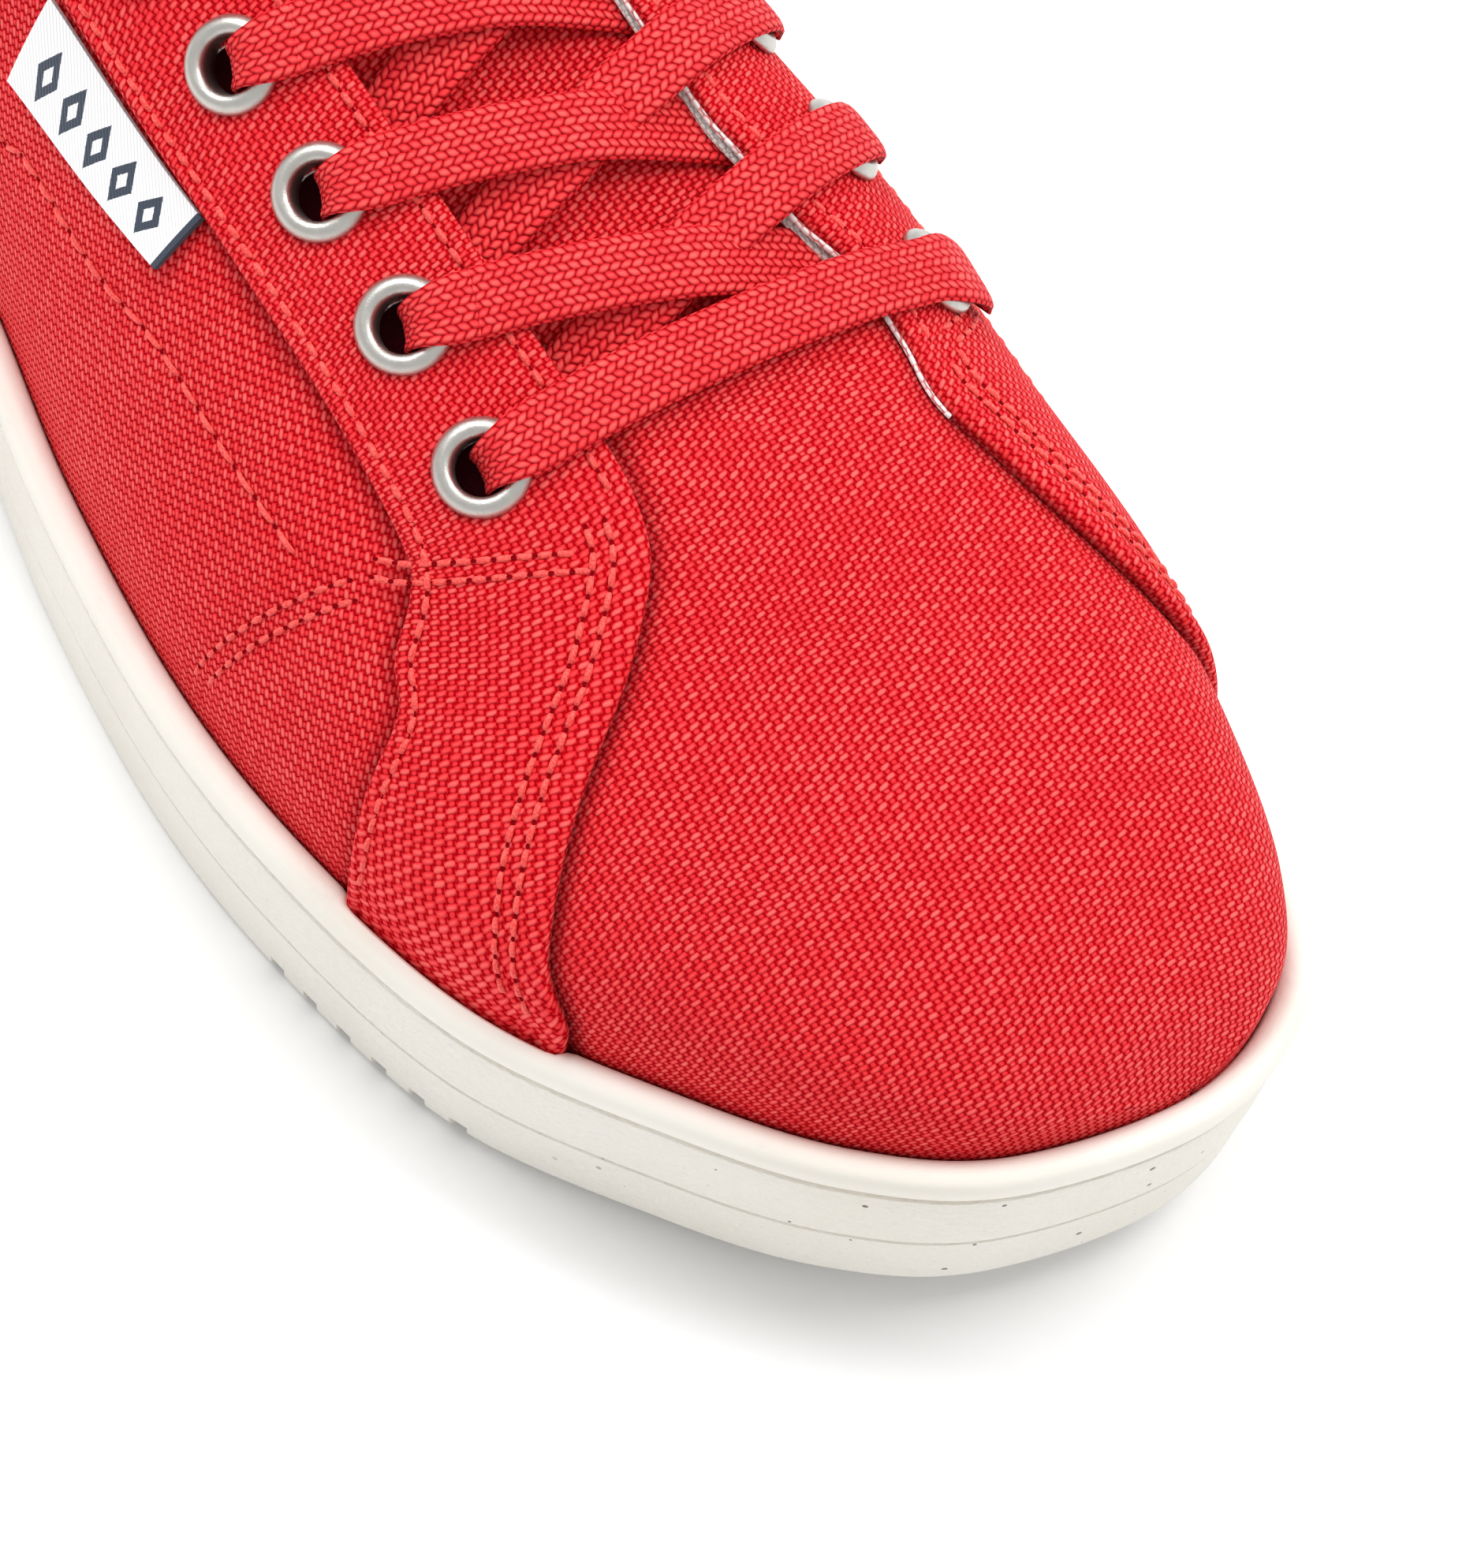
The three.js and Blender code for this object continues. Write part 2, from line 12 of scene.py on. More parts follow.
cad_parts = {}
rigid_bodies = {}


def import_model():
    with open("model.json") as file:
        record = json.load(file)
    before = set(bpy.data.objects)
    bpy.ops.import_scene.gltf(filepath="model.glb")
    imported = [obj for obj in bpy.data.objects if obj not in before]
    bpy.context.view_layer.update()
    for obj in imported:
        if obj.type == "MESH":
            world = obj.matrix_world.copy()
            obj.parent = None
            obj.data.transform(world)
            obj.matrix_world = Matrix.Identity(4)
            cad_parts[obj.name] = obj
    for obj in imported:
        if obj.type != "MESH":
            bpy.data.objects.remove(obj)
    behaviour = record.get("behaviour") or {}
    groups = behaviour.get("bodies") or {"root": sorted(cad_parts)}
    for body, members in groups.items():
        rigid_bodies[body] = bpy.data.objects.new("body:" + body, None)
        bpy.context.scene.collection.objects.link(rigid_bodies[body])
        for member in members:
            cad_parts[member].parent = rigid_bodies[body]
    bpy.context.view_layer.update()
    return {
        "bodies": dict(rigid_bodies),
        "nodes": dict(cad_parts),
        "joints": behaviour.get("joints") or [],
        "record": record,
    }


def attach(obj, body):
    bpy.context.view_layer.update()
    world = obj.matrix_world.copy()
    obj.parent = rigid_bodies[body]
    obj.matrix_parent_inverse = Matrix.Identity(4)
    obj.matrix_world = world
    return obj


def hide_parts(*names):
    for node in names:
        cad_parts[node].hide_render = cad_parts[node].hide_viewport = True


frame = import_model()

MM = 0.001
RNG = np.random.default_rng(7)

# ------------------------------------------------------------------ camera
CAMERA = {"azimuth": 41.44, "elevation": 58.5, "roll": 15.03, "distance": 532.2, "lens": 112.86,
          "target": (77.45, -3.82, 28.0)}


def make_camera():
    az, el, roll = (math.radians(CAMERA[k]) for k in ("azimuth", "elevation", "roll"))
    back = Vector((math.sin(az) * math.cos(el), -math.cos(az) * math.cos(el), math.sin(el)))
    right = (-back).cross(Vector((0, 0, 1))).normalized()
    up = right.cross(-back)
    turned_right = math.cos(roll) * right + math.sin(roll) * up
    turned_up = -math.sin(roll) * right + math.cos(roll) * up
    place = Matrix((turned_right, turned_up, back)).transposed().to_4x4()
    place.translation = (Vector(CAMERA["target"]) + back * CAMERA["distance"]) * MM
    data = bpy.data.cameras.new("camera")
    data.lens = CAMERA["lens"]
    data.clip_start = 0.01
    camera = bpy.data.objects.new("camera", data)
    camera.matrix_world = place
    bpy.context.scene.collection.objects.link(camera)
    bpy.context.scene.camera = camera


# ------------------------------------------------------------------ the last, as in part.mjs
SOLE_LENGTH = 277.6
BALL_WIDTH = 102.6
INSTEP_HEIGHT = 100.0
# along, lateral, medial, ridge, top, outer, inner, rise: see the same table in part.mjs
SECTIONS = np.array([
    [0.000, 0.005, 0.005, 0.005, 1.600, 2.0, 2.0, 1.9],
    [0.014, -0.141, 0.136, 0.005, 1.600, 2.0, 2.1, 1.9],
    [0.053, -0.268, 0.258, 0.005, 1.600, 2.0, 2.3, 1.9],
    [0.118, -0.339, 0.327, 0.010, 1.550, 2.1, 2.6, 2.0],
    [0.205, -0.356, 0.336, 0.018, 1.450, 2.1, 2.8, 2.0],
    [0.309, -0.370, 0.327, 0.039, 1.220, 2.1, 3.0, 2.0],
    [0.417, -0.403, 0.336, 0.081, 0.992, 2.0, 3.1, 2.0],
    [0.522, -0.465, 0.395, 0.118, 0.864, 2.0, 3.1, 1.9],
    [0.630, -0.501, 0.471, 0.136, 0.752, 2.0, 3.1, 1.9],
    [0.720, -0.489, 0.494, 0.139, 0.661, 2.0, 3.1, 1.9],
    [0.810, -0.437, 0.490, 0.144, 0.603, 2.1, 3.1, 2.0],
    [0.885, -0.326, 0.445, 0.145, 0.553, 2.2, 3.2, 2.1],
    [0.943, -0.213, 0.390, 0.142, 0.488, 2.2, 3.0, 2.1],
    [0.982, -0.074, 0.301, 0.139, 0.419, 2.2, 2.6, 2.1],
    [1.000, 0.140, 0.140, 0.140, 0.330, 2.2, 2.2, 2.1]])
ALONG, LATERAL, MEDIAL, RIDGE, TOP, OUTER, INNER, RISE = range(8)
LAST = len(SECTIONS) - 1
SCALE = np.array([SOLE_LENGTH, BALL_WIDTH, BALL_WIDTH, BALL_WIDTH, INSTEP_HEIGHT, 1, 1, 1])
TABLE = SECTIONS * SCALE
TABLE[:, ALONG] -= SOLE_LENGTH / 2
BACK_ROWS = TABLE[-2:0:-1]
RING = np.concatenate([TABLE, BACK_ROWS])
OUTLINE = np.concatenate([TABLE[:, [ALONG, LATERAL]], BACK_ROWS[:, [ALONG, MEDIAL]]])
COUNT = len(RING)

LIP_HEIGHT, LIP_HEEL_RISE, LIP_RISE_START = 25.8, 5.5, 10.0
CUP_FLOOR_FORE, CUP_FLOOR_HEEL = 12.5, 17.0
TOE_SPRING, TOE_SPRING_START = 7.6, 63.0
ARCH_RISE, ARCH_FROM, ARCH_TO = 1.8, -48.0, 20.0
UPPER_INSET = 3.7
BELLY = 3.0
HEEL_PIVOT = -95.0
LATERAL_SIDE, MEDIAL_SIDE = -1, 1


def smooth_step(start, end, x):
    t = np.clip((np.asarray(x, float) - start) / (end - start), 0, 1)
    return t * t * (3 - 2 * t)


def toe_spring(x):
    return TOE_SPRING * np.clip((x - TOE_SPRING_START) / (SOLE_LENGTH / 2 - TOE_SPRING_START), 0, 1) ** 2


def rim_height(x):
    behind = np.clip((LIP_RISE_START - x) / (LIP_RISE_START + SOLE_LENGTH / 2), 0, 1)
    return LIP_HEIGHT + toe_spring(x) + LIP_HEEL_RISE * behind ** 1.3


def tread_height(x):
    t = np.clip((x - ARCH_FROM) / (ARCH_TO - ARCH_FROM), 0, 1)
    return toe_spring(x) + ARCH_RISE * np.sin(np.pi * t) ** 2


def cup_floor(x):
    heelward = 1 - smooth_step(-30, 25, x)
    return CUP_FLOOR_FORE + toe_spring(x) + (CUP_FLOOR_HEEL - CUP_FLOOR_FORE) * heelward


def catmull_rom(a, b, c, d, f):
    square, cube = 2 * a - 5 * b + 4 * c - d, 3 * b - a - 3 * c + d
    return 0.5 * (2 * b + (c - a) * f + square * f ** 2 + cube * f ** 3)


def ring_value(values, t):
    """Catmull-Rom through a closed ring of rows."""
    start = np.floor(t).astype(int)
    f = t - start
    near = (values[(start + k) % len(values)] for k in (-1, 0, 1, 2))
    return catmull_rom(*near, f[..., None] if values.ndim > 1 else f)


def outline(row, side, inset):
    """A point of the sole's outline at section number row, moved in by inset."""
    row, side, inset = np.broadcast_arrays(*(np.asarray(v, float) for v in (row, side, inset)))
    t = np.where(side < 0, row, (COUNT - row) % COUNT)
    tiny = 1e-3
    along = ring_value(OUTLINE, (t + tiny) % COUNT) - ring_value(OUTLINE, (t - tiny) % COUNT)
    along /= np.linalg.norm(along, axis=-1)[..., None]
    normal = np.stack([along[..., 1], -along[..., 0]], -1)
    return ring_value(OUTLINE, t) - normal * inset[..., None]


def column(index, row):
    return ring_value(RING[:, index], np.asarray(row, float))


def on_last(row, side, phi, depth=0.0):
    """The upper's outside: row along the foot, phi 0 (feather edge) to 90 (ridge) degrees, and
    below 0 straight down in millimetres. depth is measured inwards from the CAD upper's outside."""
    row, side, phi, depth = np.broadcast_arrays(*(np.asarray(v, float) for v in (row, side, phi, depth)))
    edge = outline(row, side, UPPER_INSET + depth)
    lateral = outline(row, LATERAL_SIDE, UPPER_INSET + depth)
    medial = outline(row, MEDIAL_SIDE, UPPER_INSET + depth)
    ridge = np.stack([np.maximum((lateral[..., 0] + medial[..., 0]) / 2, HEEL_PIVOT), column(RIDGE, row)], -1)
    top = column(TOP, row) - depth
    base = np.minimum(rim_height(edge[..., 0]) + BELLY, top)
    wide = np.where(side < 0, column(OUTER, row), column(INNER, row))
    angle = np.radians(np.clip(phi, 0, 90))
    across = np.cos(angle) ** (2 / wide)
    up = np.sin(angle) ** (2 / column(RISE, row))
    plan = ridge + (edge - ridge) * across[..., None]
    height = base + (top - base) * up + np.minimum(phi, 0)
    return np.concatenate([plan, height[..., None]], -1)


def phi_at(row, side, y, depth=0.0):
    ridge_y = column(RIDGE, row)
    edge = outline(row, side, UPPER_INSET + depth)
    across = np.clip((y - ridge_y) / (edge[..., 1] - ridge_y), 0, 1)
    wide = np.where(side < 0, column(OUTER, row), column(INNER, row))
    return np.degrees(np.arccos(across ** (wide / 2)))


def side_of(row, y):
    return np.where(y < column(RIDGE, row), -1.0, 1.0)


def locate(x, y, depth=0.0):
    """The (row, phi) of the last's surface above a plan position."""
    x, y, depth = np.broadcast_arrays(*(np.asarray(v, float) for v in (x, y, depth)))
    low, high = np.full(x.shape, 3.2), np.full(x.shape, LAST - 0.3)
    for _ in range(28):
        row = (low + high) / 2
        side = side_of(row, y)
        phi = phi_at(row, side, y, depth)
        behind = on_last(row, side, phi, depth)[..., 0] < x
        low, high = np.where(behind, row, low), np.where(behind, high, row)
    return np.stack([row, phi], -1)


def over_plan(x, y, depth=0.0):
    """The upper's surface above a plan position."""
    row, phi = np.moveaxis(locate(x, y, depth), -1, 0)
    return on_last(row, side_of(row, y), phi, depth)


def plan_normal(x, y, reach=1.2):
    """The upper's outward normal above a plan position."""
    slope_x = (over_plan(x + reach, y)[..., 2] - over_plan(x - reach, y)[..., 2]) / (2 * reach)
    slope_y = (over_plan(x, y + reach)[..., 2] - over_plan(x, y - reach)[..., 2]) / (2 * reach)
    return unit(np.stack([-slope_x, -slope_y, np.ones_like(slope_x)], -1))


# Three ways of naming a place on the upper by two numbers (a, b).
def one_side(side):
    return lambda a, b, depth: on_last(a, side, b, depth)


def over_ridge(a, b, depth):
    """a is the row; b runs from the lateral feather edge at -90 over the ridge at 0 to +90."""
    return on_last(a, np.where(b < 0, -1.0, 1.0), 90.0 - np.abs(b), depth)


def round_heel(a, b, depth):
    """a is minus the row on the lateral side and plus the row on the medial side."""
    return on_last(np.abs(a), np.where(a < 0, -1.0, 1.0), b, depth)


# ------------------------------------------------------------------ mesh helpers
def run_length(points):
    """The distance along a polyline at each of its points."""
    return np.concatenate([[0], np.cumsum(np.linalg.norm(np.diff(points, axis=0), axis=1))])


def unit(v):
    return v / np.maximum(np.linalg.norm(v, axis=-1), 1e-12)[..., None]


def resample(points, step, place=None):
    """Evenly spaced points along a polyline; place turns the points into 3-D ones to measure."""
    points = np.asarray(points, float)
    share = np.linspace(0, 1, 24, endpoint=False)[:, None]
    dense = [a + (b - a) * share for a, b in zip(points[:-1], points[1:])]
    dense = np.concatenate(dense + [points[-1:]])
    solid = dense if place is None else place(dense[:, 0], dense[:, 1], 0.0)
    length = run_length(solid)
    wanted = np.linspace(0, length[-1], max(int(round(length[-1] / step)), 2) + 1)
    return np.stack([np.interp(wanted, length, values) for values in dense.T], -1)


def curve_through(points, per_span=12):
    """A smooth open curve through a few hand-set points."""
    p = np.asarray(points, float)
    p = np.concatenate([2 * p[:1] - p[1:2], p, 2 * p[-1:] - p[-2:-1]])
    f = np.linspace(0, 1, per_span, endpoint=False)[:, None]
    spans = [catmull_rom(*p[i - 1:i + 3], f) for i in range(1, len(p) - 2)]
    return np.concatenate(spans + [p[-2:-1]])


def slopes(place, a, b, depth=0.0, step=0.02):
    """How a place on the surface moves with a and with b."""
    da = (place(a + step, b, depth) - place(a - step, b, depth)) / (2 * step)
    db = (place(a, b + step, depth) - place(a, b - step, depth)) / (2 * step)
    return da, db


def surface_frame(place, curve, depth=0.0):
    """Points, unit tangents and outward normals along a curve of (a, b)."""
    a, b = curve[:, 0], curve[:, 1]
    solid = place(a, b, depth)
    normal = unit(np.cross(*slopes(place, a, b, depth)))
    normal[np.sum(normal * outward_hint(solid), -1) < 0] *= -1
    return solid, unit(np.gradient(solid, axis=0)), normal


def shift_sideways(curve, place, distance):
    """Moves a curve across the surface; a positive distance is to its left seen from outside."""
    _, along, normal = surface_frame(place, curve)
    left = unit(np.cross(normal, along))
    frame = np.stack(slopes(place, curve[:, 0], curve[:, 1]), -1)
    gram = np.einsum("nki,nkj->nij", frame, frame)
    wanted = np.einsum("nki,nk->ni", frame, left) * distance
    return curve + np.linalg.solve(gram, wanted[..., None])[..., 0]


def outward_hint(solid):
    """Roughly outwards: away from a line inside the foot."""
    x = solid[:, 0]
    return solid - np.stack([np.clip(x, -100, 100), 5.0 + 0 * x, 32.0 + 0 * x], -1)


def point_gap(points, lines):
    """Smallest distance from each point to any segment of the lines."""
    best = np.full(len(points), 1e9)
    for line in lines:
        starts, ends = line[:-1], line[1:]
        span = ends - starts
        size = np.maximum(np.sum(span * span, -1), 1e-12)
        for lo in range(0, len(points), 1500):
            chunk = points[lo:lo + 1500]
            t = np.clip(np.einsum("ijk,jk->ij", chunk[:, None] - starts[None], span) / size, 0, 1)
            gap = np.linalg.norm(chunk[:, None] - (starts[None] + span[None] * t[..., None]), axis=-1)
            best[lo:lo + 1500] = np.minimum(best[lo:lo + 1500], gap.min(1))
    return best


def add_mesh(name, points_mm, faces, material, smooth_angle=None):
    mesh = bpy.data.meshes.new(name)
    mesh.from_pydata((np.asarray(points_mm) * MM).tolist(), [], [tuple(int(i) for i in f) for f in faces])
    mesh.update()
    mesh.shade_smooth()
    if smooth_angle is not None:
        mesh.set_sharp_from_angle(angle=math.radians(smooth_angle))
    piece = bpy.data.objects.new(name, mesh)
    bpy.context.scene.collection.objects.link(piece)
    mesh.materials.append(material)
    return piece


def tube_faces(rings, around, base=0, closed=False, ends=False):
    """Quads between successive rings of points, and if wanted a face over each end."""
    faces = []
    for k in range(rings if closed else rings - 1):
        near, far = base + k * around, base + (k + 1) % rings * around
        faces += [(near + i, near + (i + 1) % around, far + (i + 1) % around, far + i) for i in range(around)]
    if ends:
        last = base + (rings - 1) * around
        faces += [tuple(range(base + around - 1, base - 1, -1)), tuple(range(last, last + around))]
    return faces


def cap_faces(base, count):
    """Faces across a ring whose points run out along one side and back along the other."""
    quads = [(base + i, base + i + 1, base + (count - i - 1) % count, base + (count - i) % count)
             for i in range(count // 2)]
    single = [tuple(dict.fromkeys(quad)) for quad in quads]
    return [face for face in single if len(face) > 2]


def closed_sheet(name, layers, uv, material, smooth_angle=None):
    """A thin closed sheet from two grids of points, the outer one first."""
    columns, rows = (n - 1 for n in layers[0].shape[:2])
    n, size = rows + 1, (columns + 1) * (rows + 1)
    faces = []
    for base in (0, size):
        for corner in (base + i * n + j for i in range(columns) for j in range(rows)):
            quad = (corner, corner + 1, corner + n + 1, corner + n)
            faces.append(quad if base else quad[::-1])
    rim = ([i * n for i in range(columns)] + [columns * n + j for j in range(rows)]
           + [i * n + rows for i in range(columns, 0, -1)] + list(range(rows, 0, -1)))
    faces += [(a, b, size + b, size + a) for a, b in zip(rim, rim[1:] + rim[:1])]
    points = np.concatenate([layer.reshape(-1, 3) for layer in layers])
    piece = add_mesh(name, points, faces, material, smooth_angle)
    fix_normals(piece)
    set_uv(piece, np.concatenate([each.reshape(-1, 2) for each in uv]))
    return piece


def declare(piece, slot, *nodes):
    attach(piece, "root")
    if nodes:
        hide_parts(*nodes)


def set_uv(piece, uv_per_vertex):
    mesh = piece.data
    layer = mesh.uv_layers.new(name=UV_NAME)
    index = np.empty(len(mesh.loops), int)
    mesh.loops.foreach_get("vertex_index", index)
    layer.data.foreach_set("uv", np.asarray(uv_per_vertex, float)[index].ravel())


def edit(piece, change):
    """Does one thing to the whole of a mesh in edit mode."""
    bpy.ops.object.select_all(action="DESELECT")
    bpy.context.view_layer.objects.active = piece
    piece.select_set(True)
    bpy.ops.object.mode_set(mode="EDIT")
    bpy.ops.mesh.select_all(action="SELECT")
    change()
    bpy.ops.object.mode_set(mode="OBJECT")


def unwrap(piece, grain, near):
    """Flattens a panel to its true size in millimetres, with U along grain beside the point near."""
    mesh = piece.data
    mesh.uv_layers.new(name=UV_NAME)
    edit(piece, lambda: bpy.ops.uv.unwrap(method="MINIMUM_STRETCH", iterations=12, margin=0.0))
    loops = np.empty(len(mesh.loops) * 2)
    layer = mesh.uv_layers[UV_NAME]
    layer.data.foreach_get("uv", loops)
    uv = loops.reshape(-1, 2)
    index = np.empty(len(mesh.loops), int)
    mesh.loops.foreach_get("vertex_index", index)
    where = np.empty(len(mesh.vertices) * 3)
    mesh.vertices.foreach_get("co", where)
    solid = where.reshape(-1, 3)[index] / MM
    starts = np.array([p.loop_start for p in mesh.polygons])
    p0, p1, p2 = (solid[starts + k] for k in range(3))
    t0, t1, t2 = (uv[starts + k] for k in range(3))
    e1, e2, s1, s2 = p1 - p0, p2 - p0, t1 - t0, t2 - t0
    flat = s1[:, 0] * s2[:, 1] - s1[:, 1] * s2[:, 0]
    area = np.linalg.norm(np.cross(e1, e2), axis=-1)
    good = np.abs(flat) > 1e-12
    safe = np.where(good, flat, 1.0)[:, None]
    along_u = (e1 * s2[:, 1:] - e2 * s1[:, 1:]) / safe
    along_v = (e2 * s1[:, :1] - e1 * s2[:, :1]) / safe
    weight = np.exp(-np.linalg.norm(p0 - np.asarray(near, float), axis=-1) / 12.0) * area * good
    scale = math.sqrt(np.sum(weight * area) / np.sum(weight * np.abs(flat)))
    grain = np.asarray(grain, float)
    gu = np.sum(weight * (unit(along_u) @ grain))
    gv = np.sum(weight * (unit(along_v) @ grain))
    turn = math.atan2(gv, gu)
    c, s = math.cos(turn), math.sin(turn)
    turned = np.stack([uv[:, 0] * c + uv[:, 1] * s, -uv[:, 0] * s + uv[:, 1] * c], -1) * scale
    layer.data.foreach_set("uv", turned.ravel())


def fill_region(border, steps, extra=()):
    """Triangles inside a closed border of (a, b) points, with an even grid of points inside."""
    border = np.asarray(border, float)
    scale = np.asarray(steps, float)
    edge = border / scale
    low, high = edge.min(0), edge.max(0)
    grid_a, grid_b = np.meshgrid(*(np.arange(first + 0.5, last, 1.0) for first, last in zip(low, high)))
    shift = (np.arange(grid_a.shape[0]) % 2)[:, None] * 0.5
    grid = np.stack([(grid_a + shift).ravel(), grid_b.ravel()], -1)
    others = [np.asarray(e, float) / scale for e in extra]
    near, *lines = (np.c_[line, 0 * line[:, 0]] for line in [grid, np.concatenate([edge, edge[:1]])] + others)
    grid = grid[point_gap(near, lines) > 0.55]
    every = np.concatenate([edge, grid] + others)
    count = len(edge)
    edges = [(i, (i + 1) % count) for i in range(count)]
    result = delaunay_2d_cdt([Vector(p) for p in every], edges, [], 1, 1e-6)
    points = np.array([tuple(v) for v in result[0]]) * scale
    return points, [list(f) for f in result[2]]


# Depths in millimetres at an overlay's folded edge, at a stitch line and under an overlay's edge.
FOLD_BULGE, UNDERCUT, SEAM_PULL, TUCK_DEPTH = 0.30, 0.5, 0.26, 0.55


def panel(name, border, place, steps, material, depth, drop, grain, near, free_edges=(), seams=(),
          dents=(), holes=(), roll=0.55, tucks=()):
    """One canvas panel lying on the last: border is a closed list of (a, b); free_edges are the open
    curves that show a folded edge, with the panel on their right; seams are stitch lines that pull
    the cloth in; tucks are lines where an overlay presses it down; holes are cut out of it."""
    border = np.asarray(border, float)
    extra = [np.concatenate([hole, hole[:1]]) for hole in holes]
    for lines, distances in ((free_edges, (-0.12, -0.3, -0.6, -1.1)), (seams, (0, -0.9, -0.4, 0.4, 0.9)),
                             (tucks, (0, -0.8, 0.8))):
        extra += [shift_sideways(line, place, d) if d else line for line in lines for d in distances]
    extra = [line[inside_of(line, border)] for line in extra]
    flat, faces = fill_region(border, steps, [line for line in extra if len(line) > 1])
    if len(holes):
        middle = np.array([flat[f].mean(0) for f in faces])
        cut = np.any([inside_of(middle, hole) for hole in holes], axis=0)
        flat, faces = drop_unused(flat, [f for f, gone in zip(faces, cut) if not gone])
    base = place(flat[:, 0], flat[:, 1], 0.0)

    def gap_to(lines):
        return point_gap(base, [place(line[:, 0], line[:, 1], 0.0) for line in lines])
    inward, shade = np.zeros(len(flat)), np.zeros(len(flat))
    if free_edges:
        gap = gap_to(free_edges)
        inward += roll * (1 - np.sqrt(1 - np.clip(1 - gap / roll, 0, 1) ** 2))
        inward -= FOLD_BULGE * np.exp(-((gap - 1.3) / 0.9) ** 2)
    if seams:
        inward += SEAM_PULL * np.exp(-(gap_to(seams) / 0.55) ** 2)
    if tucks:
        gap = gap_to(tucks)
        inward += TUCK_DEPTH * np.exp(-(gap / 1.2) ** 2)
        shade += np.exp(-(gap / 1.5) ** 2)
    for centre, reach, amount in dents:
        gap = np.linalg.norm((base - centre) / reach, axis=-1)
        inward += amount * np.exp(-gap ** 2)
    top = place(flat[:, 0], flat[:, 1], depth + inward)
    inwards = unit(face_middles(top, faces) - top) * (UNDERCUT if free_edges else 0.0)
    points, walls, offset = [top], [], len(top)
    for loop in border_loops(faces):
        size, ring = len(loop), list(loop)
        for share in (0.62, 1.0):
            wall = place(flat[loop, 0], flat[loop, 1], depth + share * drop)
            points.append(wall + inwards[loop] * (share == 1.0))
            walls += [[ring[(i + 1) % size], ring[i], offset + i, offset + (i + 1) % size]
                      for i in range(size)]
            ring = list(range(offset, offset + size))
            offset += size
    piece = add_mesh(name, np.concatenate(points), faces + walls, material)
    shade = np.concatenate([shade, np.full(offset - len(flat), 1.0 if free_edges else 0.0)])
    piece.data.attributes.new("shade", "FLOAT", "POINT").data.foreach_set("value", shade)
    fix_normals(piece)
    unwrap(piece, grain, near)
    declare(piece, "canvas" if material == CANVAS else "lining", "upper")


def face_middles(points, faces):
    """For each point, the mean of the middles of the faces round it."""
    total, count = np.zeros_like(points), np.zeros(len(points))
    for face in faces:
        total[face] += points[face].mean(0)
        count[face] += 1
    return total / np.maximum(count, 1)[:, None]


def drop_unused(points, faces):
    used = np.unique(np.concatenate([np.asarray(f) for f in faces]))
    renumber = np.full(len(points), -1)
    renumber[used] = np.arange(len(used))
    return points[used], [list(renumber[f]) for f in faces]


def inside_of(line, border):
    """Which points lie inside a closed border."""
    x, y = line[:, 0], line[:, 1]
    inside = np.zeros(len(line), bool)
    x1, y1 = border[:, 0], border[:, 1]
    x2, y2 = np.roll(x1, -1), np.roll(y1, -1)
    for i in range(len(border)):
        crosses = (y1[i] > y) != (y2[i] > y)
        slope = (x2[i] - x1[i]) / (y2[i] - y1[i] if y2[i] != y1[i] else 1e-12)
        inside ^= crosses & (x < slope * (y - y1[i]) + x1[i])
    return inside


def border_loops(faces):
    """The closed loops of edges that belong to one face only, in face order."""
    edges = {}
    for face in faces:
        for i, a in enumerate(face):
            b = face[(i + 1) % len(face)]
            if (b, a) in edges:
                del edges[(b, a)]
            else:
                edges[(a, b)] = True
    following = {a: b for a, b in edges}
    loops = []
    while following:
        start = next(iter(following))
        loop = [start]
        step = following.pop(start)
        while step != start and step in following:
            loop.append(step)
            step = following.pop(step)
        loops.append(loop)
    return loops


def fix_normals(piece):
    """Turns the faces outwards, judged by the largest part of the surface."""
    mesh = piece.data
    centre = np.array([p.center[:] for p in mesh.polygons]) / MM
    normal = np.array([p.normal[:] for p in mesh.polygons])
    area = np.array([p.area for p in mesh.polygons])
    if np.sum(np.sum(normal * unit(outward_hint(centre)), -1) * area) < 0:
        mesh.flip_normals()


# ------------------------------------------------------------------ node helpers
class Value:
    """A number in a shader; arithmetic on it adds Math nodes."""

    def __init__(self, net, socket):
        self.net = net
        self.socket = socket

    def __add__(self, other):
        return self.net.math("ADD", self, other)

    def __sub__(self, other):
        return self.net.math("SUBTRACT", self, other)

    def __rsub__(self, other):
        return self.net.math("SUBTRACT", other, self)

    def __mul__(self, other):
        return self.net.math("MULTIPLY", self, other)

    def __truediv__(self, other):
        return self.net.math("DIVIDE", self, other)

    def __lt__(self, other):
        return self.net.math("LESS_THAN", self, other)

    def __gt__(self, other):
        return self.net.math("GREATER_THAN", self, other)

    def __abs__(self):
        return self.net.math("ABSOLUTE", self)


